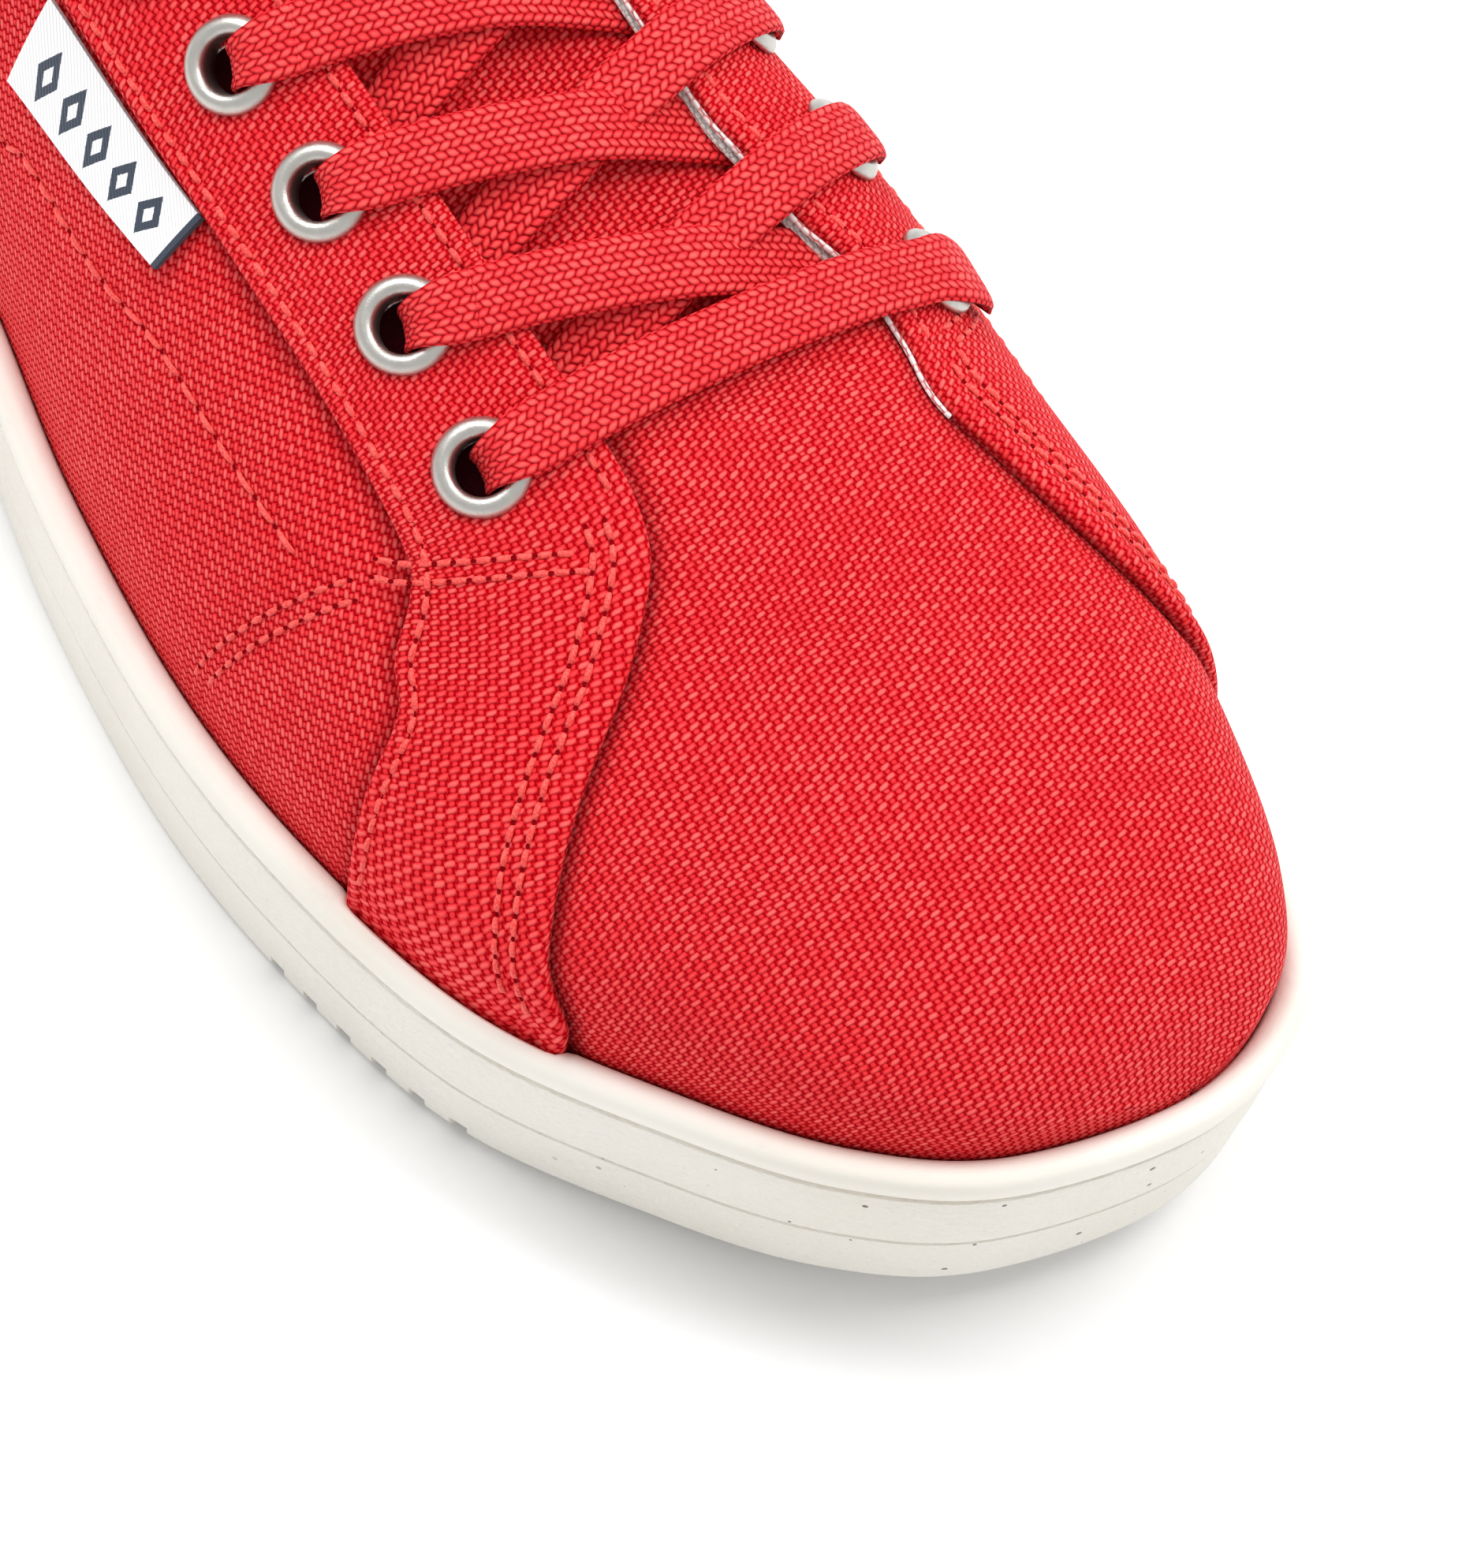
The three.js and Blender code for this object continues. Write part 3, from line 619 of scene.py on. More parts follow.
class Net:
    """A material with a Principled shader and short ways of adding nodes to it."""

    def __init__(self, name):
        self.material = bpy.data.materials.new(name)
        self.material.use_nodes = True
        self.tree = self.material.node_tree
        self.tree.nodes.clear()
        self.shader = self.node("ShaderNodeBsdfPrincipled")
        out = self.node("ShaderNodeOutputMaterial")
        self.tree.links.new(self.shader.outputs[0], out.inputs["Surface"])

    def node(self, kind, **settings):
        made = self.tree.nodes.new(kind)
        for key, value in settings.items():
            setattr(made, key, value)
        return made

    def feed(self, socket, value):
        if isinstance(value, Value):
            self.tree.links.new(value.socket, socket)
        else:
            socket.default_value = value

    def fill(self, made, **values):
        for key, value in values.items():
            self.feed(made.inputs[key.replace("_", " ")], value)
        return made

    def set(self, **values):
        self.fill(self.shader, **values)

    def math(self, operation, *values):
        made = self.node("ShaderNodeMath", operation=operation)
        for socket, value in zip(made.inputs, values):
            self.feed(socket, value)
        return Value(self, made.outputs[0])

    def step(self, value, low, high, to_low=0.0, to_high=1.0):
        made = self.node("ShaderNodeMapRange", interpolation_type="SMOOTHSTEP")
        self.fill(made, Value=value, From_Min=low, From_Max=high, To_Min=to_low, To_Max=to_high)
        return Value(self, made.outputs[0])

    def mix(self, factor, a, b):
        made = self.node("ShaderNodeMix", data_type="RGBA")
        for socket, value in zip([s for s in made.inputs if s.enabled], (factor, a, b)):
            self.feed(socket, value)
        return Value(self, [s for s in made.outputs if s.enabled][0])

    def scaled(self, vector, amounts):
        made = self.node("ShaderNodeVectorMath", operation="MULTIPLY")
        self.feed(made.inputs[0], vector)
        made.inputs[1].default_value = amounts
        return Value(self, made.outputs[0])

    def noise(self, vector, scale, detail=2.0, rough=0.5, output="Fac"):
        made = self.node("ShaderNodeTexNoise")
        self.fill(made, Vector=vector, Scale=scale, Detail=detail, Roughness=rough)
        return Value(self, made.outputs[output])

    def random(self, vector, dimensions):
        made = self.fill(self.node("ShaderNodeTexWhiteNoise", noise_dimensions=dimensions), Vector=vector)
        return Value(self, made.outputs["Value"])

    def split(self, vector):
        made = self.fill(self.node("ShaderNodeSeparateXYZ"), Vector=vector)
        return [Value(self, output) for output in made.outputs]

    def join(self, x, y):
        return Value(self, self.fill(self.node("ShaderNodeCombineXYZ"), X=x, Y=y).outputs[0])

    def uv(self):
        return Value(self, self.node("ShaderNodeUVMap", uv_map=UV_NAME).outputs[0])

    def place(self):
        """Object coordinates in millimetres."""
        return self.scaled(Value(self, self.node("ShaderNodeTexCoord").outputs["Object"]), (1000, 1000, 1000))

    def relief(self, height, distance):
        """Bumps the surface by height times distance millimetres."""
        made = self.fill(self.node("ShaderNodeBump"), Height=height, Distance=distance * MM)
        self.set(Normal=Value(self, made.outputs[0]))


def hollow_round(net, fraction, width):
    """The rounded top of a yarn: 1 on its centre line and 0 at its edges."""
    part = fraction / (width / 2)
    return net.math("SQRT", net.math("MAXIMUM", 1.0 - part * part, 0.0))


def oval(net, across, along, wide, long):
    """A rounded bump: 1 in its middle and 0 at half widths wide and long."""
    a, b = across / wide, along / long
    return net.math("SQRT", net.math("MAXIMUM", 1.0 - (a * a + b * b * b), 0.0))


def unevenly(net, uv, scale, amounts):
    """How far threads wander along U and V, in millimetres."""
    parts = net.split(net.noise(uv, scale, 1.0, output="Color"))
    return [(part - 0.5) * amount for part, amount in zip(parts, amounts)]


def plain_weave(net, fine, coarse, slant=0.36):
    """Height (0 in the gaps to 1 on the crowns) of a plain weave in UV millimetres, and a random
    value for each crown. Threads set fine apart along U float as long ovals over threads set
    coarse apart along V, whose crowns show as small dots between the ovals."""
    uv = net.uv()
    drift = unevenly(net, uv, 0.05, (2.0, 2.0))
    quiver = unevenly(net, uv, 0.8, (0.2, 0.2))
    axes = [(part + slow + fast) / pitch
            for part, slow, fast, pitch in zip(net.split(uv), drift, quiver, (fine, coarse))]
    cells = [net.math("FLOOR", a) for a in axes]
    fu, fv = (net.math("FRACT", a) - 0.5 for a in axes)
    fine_on_top = net.math("FRACT", (cells[0] + cells[1]) * 0.5) > 0.25
    across = abs(fv * slant + fu)
    along = abs(fv)
    floating = oval(net, across, along, 0.62, 0.60)
    beside = oval(net, 1.0 - across, along, 0.62, 0.60)
    beyond = oval(net, across, 1.0 - along, 0.62, 0.60)
    dot = oval(net, fu, along, 0.5, 0.30) * 0.80
    between = net.math("MAXIMUM", dot, net.math("MAXIMUM", beside, beyond))
    height = (floating - between) * fine_on_top + between
    return height, net.random(net.join(*cells), "2D")


def canvas_material(name, dark, middle, light):
    """The attribute shade darkens the cloth where an overlay's edge casts its shadow."""
    net = Net(name)
    height, crown = plain_weave(net, CANVAS_FINE, CANVAS_COARSE)
    patch = net.noise(net.place(), 0.035, 3.0)
    fibre = net.noise(net.uv(), 5.5, 3.0, 0.6)
    level = height + (crown - 0.5) * 0.30 + (patch - 0.5) * 0.30 + (fibre - 0.5) * 0.45
    # Painted shade: the gaps between threads take the dark colour; the crowns take the light colour, which is
    # partly a painted highlight.
    colour = net.mix(net.step(level, 0.0, 0.55), dark, middle)
    colour = net.mix(net.step(level, 0.66, 1.15), colour, light)
    shade = Value(net, net.node("ShaderNodeAttribute", attribute_name="shade").outputs["Fac"])
    colour = net.mix(shade * 0.62, colour, (0.20, 0.0, 0.002, 1))
    net.set(Base_Color=colour, Roughness=0.66, Sheen_Weight=height * 0.05, Sheen_Roughness=0.45,
            Sheen_Tint=(1.0, 0.45, 0.42, 1.0), Specular_IOR_Level=height * 0.34)
    net.relief(height + fibre * 0.22, 0.42)
    return net.material


def lace_material(name, dark, middle, light):
    """A flat braid: columns of rounded stitches, each column half a stitch on from the last."""
    net = Net(name)
    uv = net.uv()
    along, across = ((part + moved) / pitch for part, moved, pitch in
                     zip(net.split(uv), unevenly(net, uv, 0.8, (0.25, 0.14)), (BRAID_STITCH, BRAID_COLUMN)))
    lane = net.math("FLOOR", across)
    fv = net.math("FRACT", across) - 0.5
    odd = net.math("FRACT", lane * 0.5) * 2.0
    lean = 1.0 - odd * 2.0
    slid = along + fv * lean * 0.42 + odd * 0.5
    to_side, to_end = abs(fv), abs(net.math("FRACT", slid) - 0.5)
    height = net.math("MAXIMUM", oval(net, to_side, to_end, 0.60, 0.52),
                      oval(net, 1.0 - to_side, 0.5 - to_end, 0.60, 0.52))
    stitch = net.random(net.join(net.math("FLOOR", slid), lane), "2D")
    fibre = net.noise(uv, 6.0, 3.0, 0.6)
    level = height + (stitch - 0.5) * 0.22 + (fibre - 0.5) * 0.4
    # Painted shade: the gaps between the braid's stitches take the dark colour; the stitch tops take the
    # light colour, which is partly a painted highlight.
    colour = net.mix(net.step(level, 0.12, 0.78), dark, middle)
    colour = net.mix(net.step(level, 0.7, 1.15), colour, light)
    net.set(Base_Color=colour, Roughness=0.6, Sheen_Weight=height * 0.05, Sheen_Roughness=0.4,
            Sheen_Tint=(1.0, 0.4, 0.4, 1.0), Specular_IOR_Level=height * 0.34)
    net.relief(height + fibre * 0.15, 0.55)
    return net.material


def thread_material(name, colour, light):
    net = Net(name)
    fibre = net.noise(net.place(), 4.0, 2.0)
    net.set(Base_Color=net.mix(net.step(fibre, 0.35, 0.65), colour, light), Roughness=0.55,
            Sheen_Weight=0.2, Sheen_Roughness=0.4, Specular_IOR_Level=0.4)
    net.relief(fibre, 0.12)
    return net.material


# A flat dark disc of painted shade, standing for the shadow inside a hole.
def shade_disc_material(name, low, high):
    net = Net(name)
    colour = net.mix(net.noise(net.place(), 3.0, 1.0), low, high)
    net.set(Base_Color=colour, Roughness=1.0, Specular_IOR_Level=0.0)
    return net.material


def rubber_material(name):
    """Off-white rubber; V is the height in millimetres below the rim."""
    net = Net(name)
    place = net.place()
    below = net.split(net.uv())[1]
    on_band = net.step(below, 4.3, 5.2) * net.step(below, 40.0, 60.0, 1.0, 0.0)
    broad = net.step(net.noise(place, 0.03, 3.0), 0.3, 0.7)
    colour = net.mix(broad, (0.80, 0.765, 0.69, 1), (0.85, 0.825, 0.76, 1))
    # Dirt in the two grooves.
    groove = 1.0 - net.step(abs(below - 4.3), 0.12, 0.5)
    middle = 1.0 - net.step(abs(below - 15.4), 0.1, 0.45)
    patches = net.step(net.noise(place, 0.25, 3.0), 0.3, 0.7, 0.35, 0.95)
    dirt = net.math("MAXIMUM", groove, middle * 0.45) * patches
    colour = net.mix(dirt * 0.6, colour, (0.36, 0.26, 0.17, 1))
    # A few dark specks on the toe's sidewall.
    speck = net.fill(net.node("ShaderNodeTexVoronoi", feature="F1"), Vector=place, Scale=0.55)
    lucky = net.random(Value(net, speck.outputs["Position"]), "3D")
    dot = Value(net, speck.outputs["Distance"]) < (lucky - 0.80) * 1.1
    dot = dot * net.step(net.split(place)[0], 88.0, 112.0) * on_band
    colour = net.mix(dot * 0.85, colour, (0.10, 0.07, 0.05, 1))
    scuff = net.step(net.noise(net.scaled(place, (0.25, 0.25, 1.0)), 0.7, 4.0, 0.7), 0.60, 0.75)
    colour = net.mix(scuff * 0.12, colour, (0.5, 0.45, 0.38, 1))
    grain = net.noise(place, 2.6, 3.0, 0.55)
    ribs = net.noise(net.scaled(place, (0.9, 0.9, 2.4)), 1.0, 2.0)
    coarse = net.noise(place, 0.6, 2.0)
    net.set(Base_Color=colour, Roughness=0.5, Specular_IOR_Level=0.4, Subsurface_Weight=0.12,
            Subsurface_Radius=(1.0, 0.8, 0.6), Subsurface_Scale=0.0015)
    net.relief(on_band * (grain * 0.6 + ribs * 0.7) + coarse * 0.25, 0.34)
    return net.material


def lining_material(name, low, high, pitch=0.7):
    net = Net(name)
    height, _ = plain_weave(net, pitch, pitch, slant=0.1)
    level = height + (net.noise(net.place(), 0.05, 3.0) - 0.5) * 0.5
    net.set(Base_Color=net.mix(net.step(level, 0.1, 0.8), low, high), Roughness=0.9, Specular_IOR_Level=0.2)
    net.relief(height, 0.15)
    return net.material


def metal_material(name):
    net = Net(name)
    place = net.place()
    fine = net.noise(place, 5.0, 3.0, 0.6)
    broad = net.noise(place, 0.7, 2.0)
    net.set(Base_Color=net.mix(broad, (0.47, 0.455, 0.42, 1), (0.60, 0.585, 0.55, 1)), Metallic=1.0,
            Roughness=net.step(fine, 0.2, 0.8, 0.3, 0.46))
    net.relief(fine, 0.03)
    return net.material


def twill_material(name):
    """White twill with a plain row of woven lozenges; U runs along the tab, V across it."""
    net = Net(name)
    uv = net.uv()
    along, across, _ = net.split(uv)
    rib = hollow_round(net, net.math("FRACT", (along + across * 1.4) / 0.62) - 0.5, 1.1)
    fibre = net.noise(uv, 5.0, 2.0)
    cell = net.math("FRACT", along / LOZENGE_PITCH + 0.5) - 0.5
    gem = abs(cell) * 2.6 + abs(across + 0.4) * 0.42
    outer = gem < fibre * 0.12 + 0.90
    inner = gem > fibre * 0.12 + 0.34
    lozenges = outer * inner * (abs(along) < 2.5 * LOZENGE_PITCH)
    mark = net.math("MAXIMUM", lozenges, along > 12.9)
    white = net.mix(rib, (0.66, 0.66, 0.67, 1), (0.93, 0.93, 0.94, 1))
    dark = net.mix(rib, (0.008, 0.012, 0.03, 1), (0.03, 0.045, 0.075, 1))
    net.set(Base_Color=net.mix(mark, white, dark), Roughness=0.7, Sheen_Weight=0.15)
    net.relief(rib + fibre * 0.2, 0.12)
    return net.material


UV_NAME = "weave"
CANVAS_FINE, CANVAS_COARSE = 0.56, 1.12
BRAID_STITCH, BRAID_COLUMN = 1.20, 0.90
LOZENGE_PITCH = 4.6
# Canvas colours: the dark one is painted shade in the weave's gaps, the light one a partly painted highlight
# on the crowns.
GAP_SHADE_RED = (0.50, 0.000, 0.004, 1)
CANVAS = canvas_material("canvas_red", GAP_SHADE_RED, (0.90, 0.014, 0.024, 1), (0.98, 0.12, 0.11, 1))
TONGUE_CANVAS = canvas_material("tongue_canvas_red", GAP_SHADE_RED, (0.88, 0.014, 0.024, 1), (0.98, 0.115, 0.105, 1))
# Lace colours: the dark one is painted shade in the braid's gaps, the light one a partly painted highlight on
# the stitches.
LACE = lace_material("lace_red", (0.56, 0.000, 0.005, 1), (0.90, 0.016, 0.026, 1), (0.98, 0.10, 0.09, 1))
THREAD = thread_material("thread_red", (0.80, 0.035, 0.035, 1), (0.93, 0.12, 0.095, 1))
# Painted shade of the needle holes.
NEEDLE_HOLE_SHADE = shade_disc_material("needle_hole_shade", (0.14, 0.001, 0.003, 1), (0.26, 0.003, 0.006, 1))
# Painted shadow: dark discs deep in the eyelets' barrels.
EYELET_SHADOW = shade_disc_material("eyelet_hole_shadow", (0.008, 0.002, 0.003, 1), (0.03, 0.002, 0.004, 1))
BACKING = lining_material("backing_cotton", (0.80, 0.22, 0.21, 1), (0.98, 0.94, 0.93, 1), 1.0)
RUBBER = rubber_material("rubber_ivory")
LINING = lining_material("lining_cotton", (0.60, 0.57, 0.52, 1), (0.86, 0.84, 0.80, 1))
METAL = metal_material("satin_nickel")
TWILL = twill_material("tab_twill")


# ------------------------------------------------------------------ lines on the upper
THROAT_TOP = -38.0
EYELET_PAIRS, EYELET_PITCH, HOLE_RADIUS = 6, 15.95, 3.75
FIRST_EYELET = {LATERAL_SIDE: 47.9, MEDIAL_SIDE: 52.0}
EYELET_Y = {LATERAL_SIDE: (-20.7, -20.2, -20.4, -21.2, -22.2, -23.2),
            MEDIAL_SIDE: (35.1, 33.0, 30.0, 27.8, 26.4, 25.6)}
SKIRT = -6.0
COLLAR_LINE = ((-165, 92), (-150, 92), (-137, 92), (-126, 88), (-108, 78), (-86, 71), (-66, 72),
               (-52, 79), (-43, 89), (-39, 103), (-38, 125))

# Plan of the open edges, heel to toe, with x and y in millimetres.
THROAT_EDGE = {
    LATERAL_SIDE: ((-38, -15.0), (-15, -13.4), (8.3, -11.8), (29.5, -10.3), (46.3, -9.1), (53.5, -8.7)),
    MEDIAL_SIDE: ((-38, 16.4), (-15, 16.5), (8, 16.8), (27.9, 18.4), (34.7, 20.0), (43, 22.0), (49.8, 25.2)),
}
FRONT_EDGE = {
    LATERAL_SIDE: ((58.5, -8.9), (64.1, -10.5), (68.6, -14.0), (74.1, -20.2), (79.8, -28.5), (86.0, -35.3)),
    MEDIAL_SIDE: ((57.9, 26.1), (65.3, 25.8), (72.4, 28.2), (81.2, 31.6), (88.8, 35.3)),
}
FRONT_FOOT = {LATERAL_SIDE: ((10.22, 15.1), (10.38, 5.0), (10.43, 0.0), (10.44, SKIRT)),
              MEDIAL_SIDE: ((10.42, 46.0), (10.58, 30.0), (10.68, 12.0), (10.70, 0.0), (10.70, SKIRT))}
# The facing's lower edge and the strip's rear edge, as (row, phi).
FACING_LOW = {
    LATERAL_SIDE: ((4.7, 33.0), (5.2, 34.2), (5.7, 35.6), (6.07, 37.1), (6.57, 40.2), (7.15, 43.3),
                   (7.75, 45.2), (8.18, 45.2), (8.51, 44.2), (8.68, 41.4)),
    MEDIAL_SIDE: ((4.7, 33.0), (5.2, 35.0), (5.7, 36.5), (6.07, 38.0), (6.57, 40.0), (7.13, 42.0),
                  (7.74, 43.5), (8.29, 40.8), (8.62, 36.9)),
}
STRIP_REAR = {LATERAL_SIDE: ((8.82, 35.6), (9.0, 31.2), (9.1, 20.6), (9.19, 9.0), (9.22, 0.0), (9.23, SKIRT)),
              MEDIAL_SIDE: ((9.05, 32.0), (9.2, 20.0), (9.3, 8.0), (9.32, 0.0), (9.33, SKIRT))}


def collar_height(x):
    line = curve_through(COLLAR_LINE)
    return np.interp(x, line[:, 0], line[:, 1])


def collar_phi(row, side):
    low, high = np.zeros(np.shape(row)), np.full(np.shape(row), 89.5)
    for _ in range(30):
        phi = (low + high) / 2
        point = on_last(row, side, phi)
        under = point[..., 2] < collar_height(point[..., 0])
        low, high = np.where(under, phi, low), np.where(under, high, phi)
    return low


def collar_edge(side):
    """From the throat's top corner round to the heel's centre line, as (row, phi)."""
    corner = locate(THROAT_TOP, THROAT_EDGE[side][0][1])
    rows = np.linspace(corner[0] - 0.06, 0.0, 90)
    phi = np.minimum(collar_phi(rows, side), corner[1])
    return np.concatenate([corner[None], np.stack([rows, phi], -1)])


GRID = 1.0
# Depths of the overlays, of the cloth under them and of the lining; the CAD upper's outside is at 0.
OVERLAY, CLOTH, INSIDE = -0.95, 0.35, 1.4
ROW_STEP, PHI_STEP = 0.055 * GRID, 2.0 * GRID


def edge_lines(side):
    """The overlay's upper and lower edges on one side, each from the heel to the sole, as (row, phi)."""
    plan = np.array(THROAT_EDGE[side] + FRONT_EDGE[side], float)
    upper_edge = curve_through(np.concatenate([locate(plan[:, 0], plan[:, 1]), FRONT_FOOT[side]]))
    lower_edge = curve_through(FACING_LOW[side] + STRIP_REAR[side])
    lower_edge = lower_edge[lower_edge[:, 1] < collar_phi(lower_edge[:, 0], side) - 0.3]
    place = one_side(side)
    return resample(upper_edge, 0.8, place), resample(lower_edge, 0.8, place)


def drawn(side, line):
    """Turns a heel-to-toe line so that the cloth below it is on its right, seen from outside."""
    return line if side == LATERAL_SIDE else line[::-1]


STITCH_POINTS, STITCH_FACES, HOLE_POINTS, HOLE_FACES = [], [], [], []
STITCH_RINGS, STITCH_SIDES, HOLE_SIDES = 7, 6, 8


def stitch_row(place, curve, depth, pitch=2.5, gap=0.40, radius=0.31, top=0.40):
    """Adds one row of stitches above the sole's lip, with a dark oval of painted shade for the needle hole at
    the start of each.
    """
    dense = resample(curve[curve[:, 1] > 1.5], 0.25, place)
    lanes = surface_frame(place, dense, depth)
    length = run_length(lanes[0])

    def at(s):
        """The point, direction and outward normal at distances s along the row."""
        point, along, out = (np.stack([np.interp(s, length, v) for v in lane.T], -1) for lane in lanes)
        return point, unit(along), unit(out)
    share = np.linspace(0, 1, STITCH_RINGS)
    rise = top * np.sin(np.pi * share) ** 0.55 - 0.22
    fat = radius * (0.55 + 0.45 * np.sin(np.pi * share) ** 0.5)
    s = 0.0
    while s + pitch < length[-1]:
        this = pitch * (1 + 0.10 * (RNG.random() - 0.5))
        skew = 0.14 * (RNG.random() - 0.5)
        point, along, out = at(s + gap / 2 + (this - gap) * share)
        across = np.cross(out, along)
        centre = point + out * rise[:, None] + across * (skew * (2 * share - 1))[:, None]
        angle = np.linspace(0, 2 * math.pi, STITCH_SIDES, endpoint=False)[:, None]
        STITCH_FACES.extend(tube_faces(STITCH_RINGS, STITCH_SIDES, len(STITCH_POINTS), ends=True))
        for k in range(STITCH_RINGS):
            round_it = across[k] * np.cos(angle) * 1.15 + out[k] * np.sin(angle)
            STITCH_POINTS.extend(centre[k] + round_it * fat[k])
        point, along, out = at(np.array([s]))
        # A dark oval at the start of each stitch: painted shade of the needle hole.
        angle = np.linspace(0, 2 * math.pi, HOLE_SIDES, endpoint=False)[:, None]
        base = len(HOLE_POINTS)
        HOLE_FACES.extend((base, base + 1 + j, base + 1 + (j + 1) % HOLE_SIDES) for j in range(HOLE_SIDES))
        HOLE_POINTS.extend(point)
        HOLE_POINTS.extend(point + out * 0.03 + along * np.cos(angle) * 0.34
                           + np.cross(out, along) * np.sin(angle) * 0.24)
        s += this


def eyelet_plan(side, number):
    return FIRST_EYELET[side] - EYELET_PITCH * number, EYELET_Y[side][number]


def eyelet_circle(side, number, radius=HOLE_RADIUS, count=30):
    """A circle round an eyelet's centre, drawn on the last, as (row, phi)."""
    centre = locate(*eyelet_plan(side, number))
    da, db = slopes(one_side(side), *centre)
    e1 = unit(da)
    e2 = unit(db - e1 * (db @ e1))
    matrix = np.array([[da @ e1, db @ e1], [da @ e2, db @ e2]])
    angle = np.linspace(0, 2 * math.pi, count, endpoint=False)
    return centre + np.linalg.solve(matrix, np.stack([np.cos(angle), np.sin(angle)]) * radius).T


def eyelet_holes(side):
    return [eyelet_circle(side, number) for number in range(EYELET_PAIRS)]


BAND_BORDER = {LATERAL_SIDE: ((8.72, 62.0), (8.95, 52.0), (9.3, 38.0), (9.6, 22.0), (9.75, 8.0), (9.8, 0.0)),
               MEDIAL_SIDE: ((8.62, 74.0), (9.1, 60.0), (9.6, 42.0), (9.9, 22.0), (10.0, 8.0), (10.0, 0.0))}


def side_border(side, top_line, skirt, setback):
    """The outline of a quarter: throat, hidden front seam, foot, heel centre line and collar."""
    place = one_side(side)
    throat = drawn(side, top_line[top_line[:, 0] < 8.6])
    throat = drawn(side, shift_sideways(throat, place, -setback))
    seam = resample(curve_through((tuple(throat[-1]),) + BAND_BORDER[side]), 1.5, place)
    foot_row = seam[-1][0]
    foot = np.linspace((foot_row, skirt), (0.0, skirt), int(foot_row / 0.05))
    heel = np.linspace((0.0, skirt), (0.0, heel_phi(side)), 20)
    return np.concatenate([throat, seam[1:], foot, heel[1:-1], collar_edge(side)[:0:-1]])


def heel_phi(side):
    """How far up the collar reaches at the heel's centre line."""
    return float(collar_phi(np.array([0.0]), side)[0])


# Stitch lines as (row, phi): where the facing meets the strip, the lateral quarter's double seam,
# and its row of long stitches.
CROSS_SEAM = {LATERAL_SIDE: ((8.50, 39.5), (8.62, 42.4), (8.8, 48.8), (8.98, 56.0), (9.08, 60.0)),
              MEDIAL_SIDE: ((8.62, 40.0), (8.75, 48.0), (8.9, 60.0), (8.98, 70.0))}
QUARTER_SEAM = ((8.42, 36.2), (8.35, 32.2), (8.2, 21.1), (8.08, 9.0), (8.03, 1.0))
LONG_STITCHES = ((4.9, 12.0), (5.5, 15.0), (6.0, 16.8), (6.2, 20.1), (6.8, 25.1), (7.2, 29.2),
                 (7.7, 30.9), (8.1, 31.9), (8.3, 32.4))
FRONT_ROW = 8.95    # the row that parts the facing's throat edge from the strip's front edge


def build_side(side):
    name = "lateral" if side == LATERAL_SIDE else "medial"
    place = one_side(side)
    top_line, low_line = edge_lines(side)
    holes = eyelet_holes(side)
    near = on_last(8.6, side, 50.0)
    front = top_line[top_line[:, 0] > FRONT_ROW]

    def beside(line, distance):
        return shift_sideways(drawn(side, line), place, distance)

    # Overlay: facing and strip in one.
    edges = (drawn(side, top_line), drawn(side, low_line)[::-1])
    rows = [beside(top_line[top_line[:, 0] <= FRONT_ROW], -2.2), shift_sideways(edges[1], place, -2.0),
            beside(front, -3.7), beside(front, -5.8)]
    cross = resample(curve_through(CROSS_SEAM[side]), 0.8, place)
    cross_rows = [cross, shift_sideways(cross, place, -1.9 * side)]
    rear = collar_edge(side)
    rear = rear[(rear[:, 0] > low_line[0][0]) & (rear[:, 0] < top_line[0][0])][::-1]
    foot = np.linspace((top_line[-1][0], SKIRT), (low_line[-1][0], SKIRT), 24)[1:-1]
    panel(f"facing_{name}", np.concatenate([top_line, foot, low_line[::-1], rear]), place,
          (ROW_STEP * 0.8, PHI_STEP * 0.8), CANVAS, OVERLAY, 1.95, (0.92, side * 0.25, -0.42), near,
          edges, rows + cross_rows, CREASES, holes, 0.6)
    for line in rows:
        stitch_row(place, line, OVERLAY + 0.12)
    for line in cross_rows:
        stitch_row(place, line, OVERLAY + 0.12, pitch=2.1, top=0.24)

    # Quarter, under the overlay.
    seams = []
    if side == LATERAL_SIDE:
        down = resample(curve_through(QUARTER_SEAM), 0.8, place)
        seams = [down, shift_sideways(down, place, 2.2), resample(curve_through(LONG_STITCHES), 0.8, place)]
    panel(f"quarter_{name}", side_border(side, top_line, SKIRT, 0.8), place, (ROW_STEP, PHI_STEP),
          CANVAS, CLOTH, 1.0, (0.90, -side * 0.17, 0.39), on_last(7.2, side, 20.0), (), seams,
          CREASES, holes, tucks=[low_line])
    for line in seams[:2]:
        stitch_row(place, line, CLOTH + 0.2, pitch=2.3, gap=0.7, top=0.2)
    for line in seams[2:]:
        stitch_row(place, line, CLOTH + 0.12, pitch=3.9, gap=0.8, radius=0.3, top=0.36)
    medial = side == MEDIAL_SIDE
    panel(f"lining_{name}", side_border(side, top_line, -15.0, -0.25 if medial else 0.5), place,
          (ROW_STEP * 2, PHI_STEP * 2), LINING, INSIDE, 0.55, (1, 0, 0), near, holes=holes)

    # White backing that peeps out under the overlay's open edge.
    edge = top_line[top_line[:, 0] < 9.25] if medial else front[front[:, 0] < 10.2]
    outer, inner = (drawn(side, beside(edge, d)) for d in (0.30 if medial else -0.25, -1.6))
    panel(f"overlay_backing_{name}", np.concatenate([outer, inner[::-1]]), place,
          (ROW_STEP, PHI_STEP), BACKING, 0.12, 0.45, (1, 0, 0), near, roll=0.3)
    return top_line


# Soft creases and hollows of the cloth: centre, reach and depth, in millimetres.
CREASES = (((45, -42, 40), (10, 5, 9), 0.35), ((20, -40, 45), (26, 4, 6), 0.25),
           ((70, -8, 60), (12, 9, 10), 0.2), ((57, -28, 53), (5, 7, 6), 0.3))


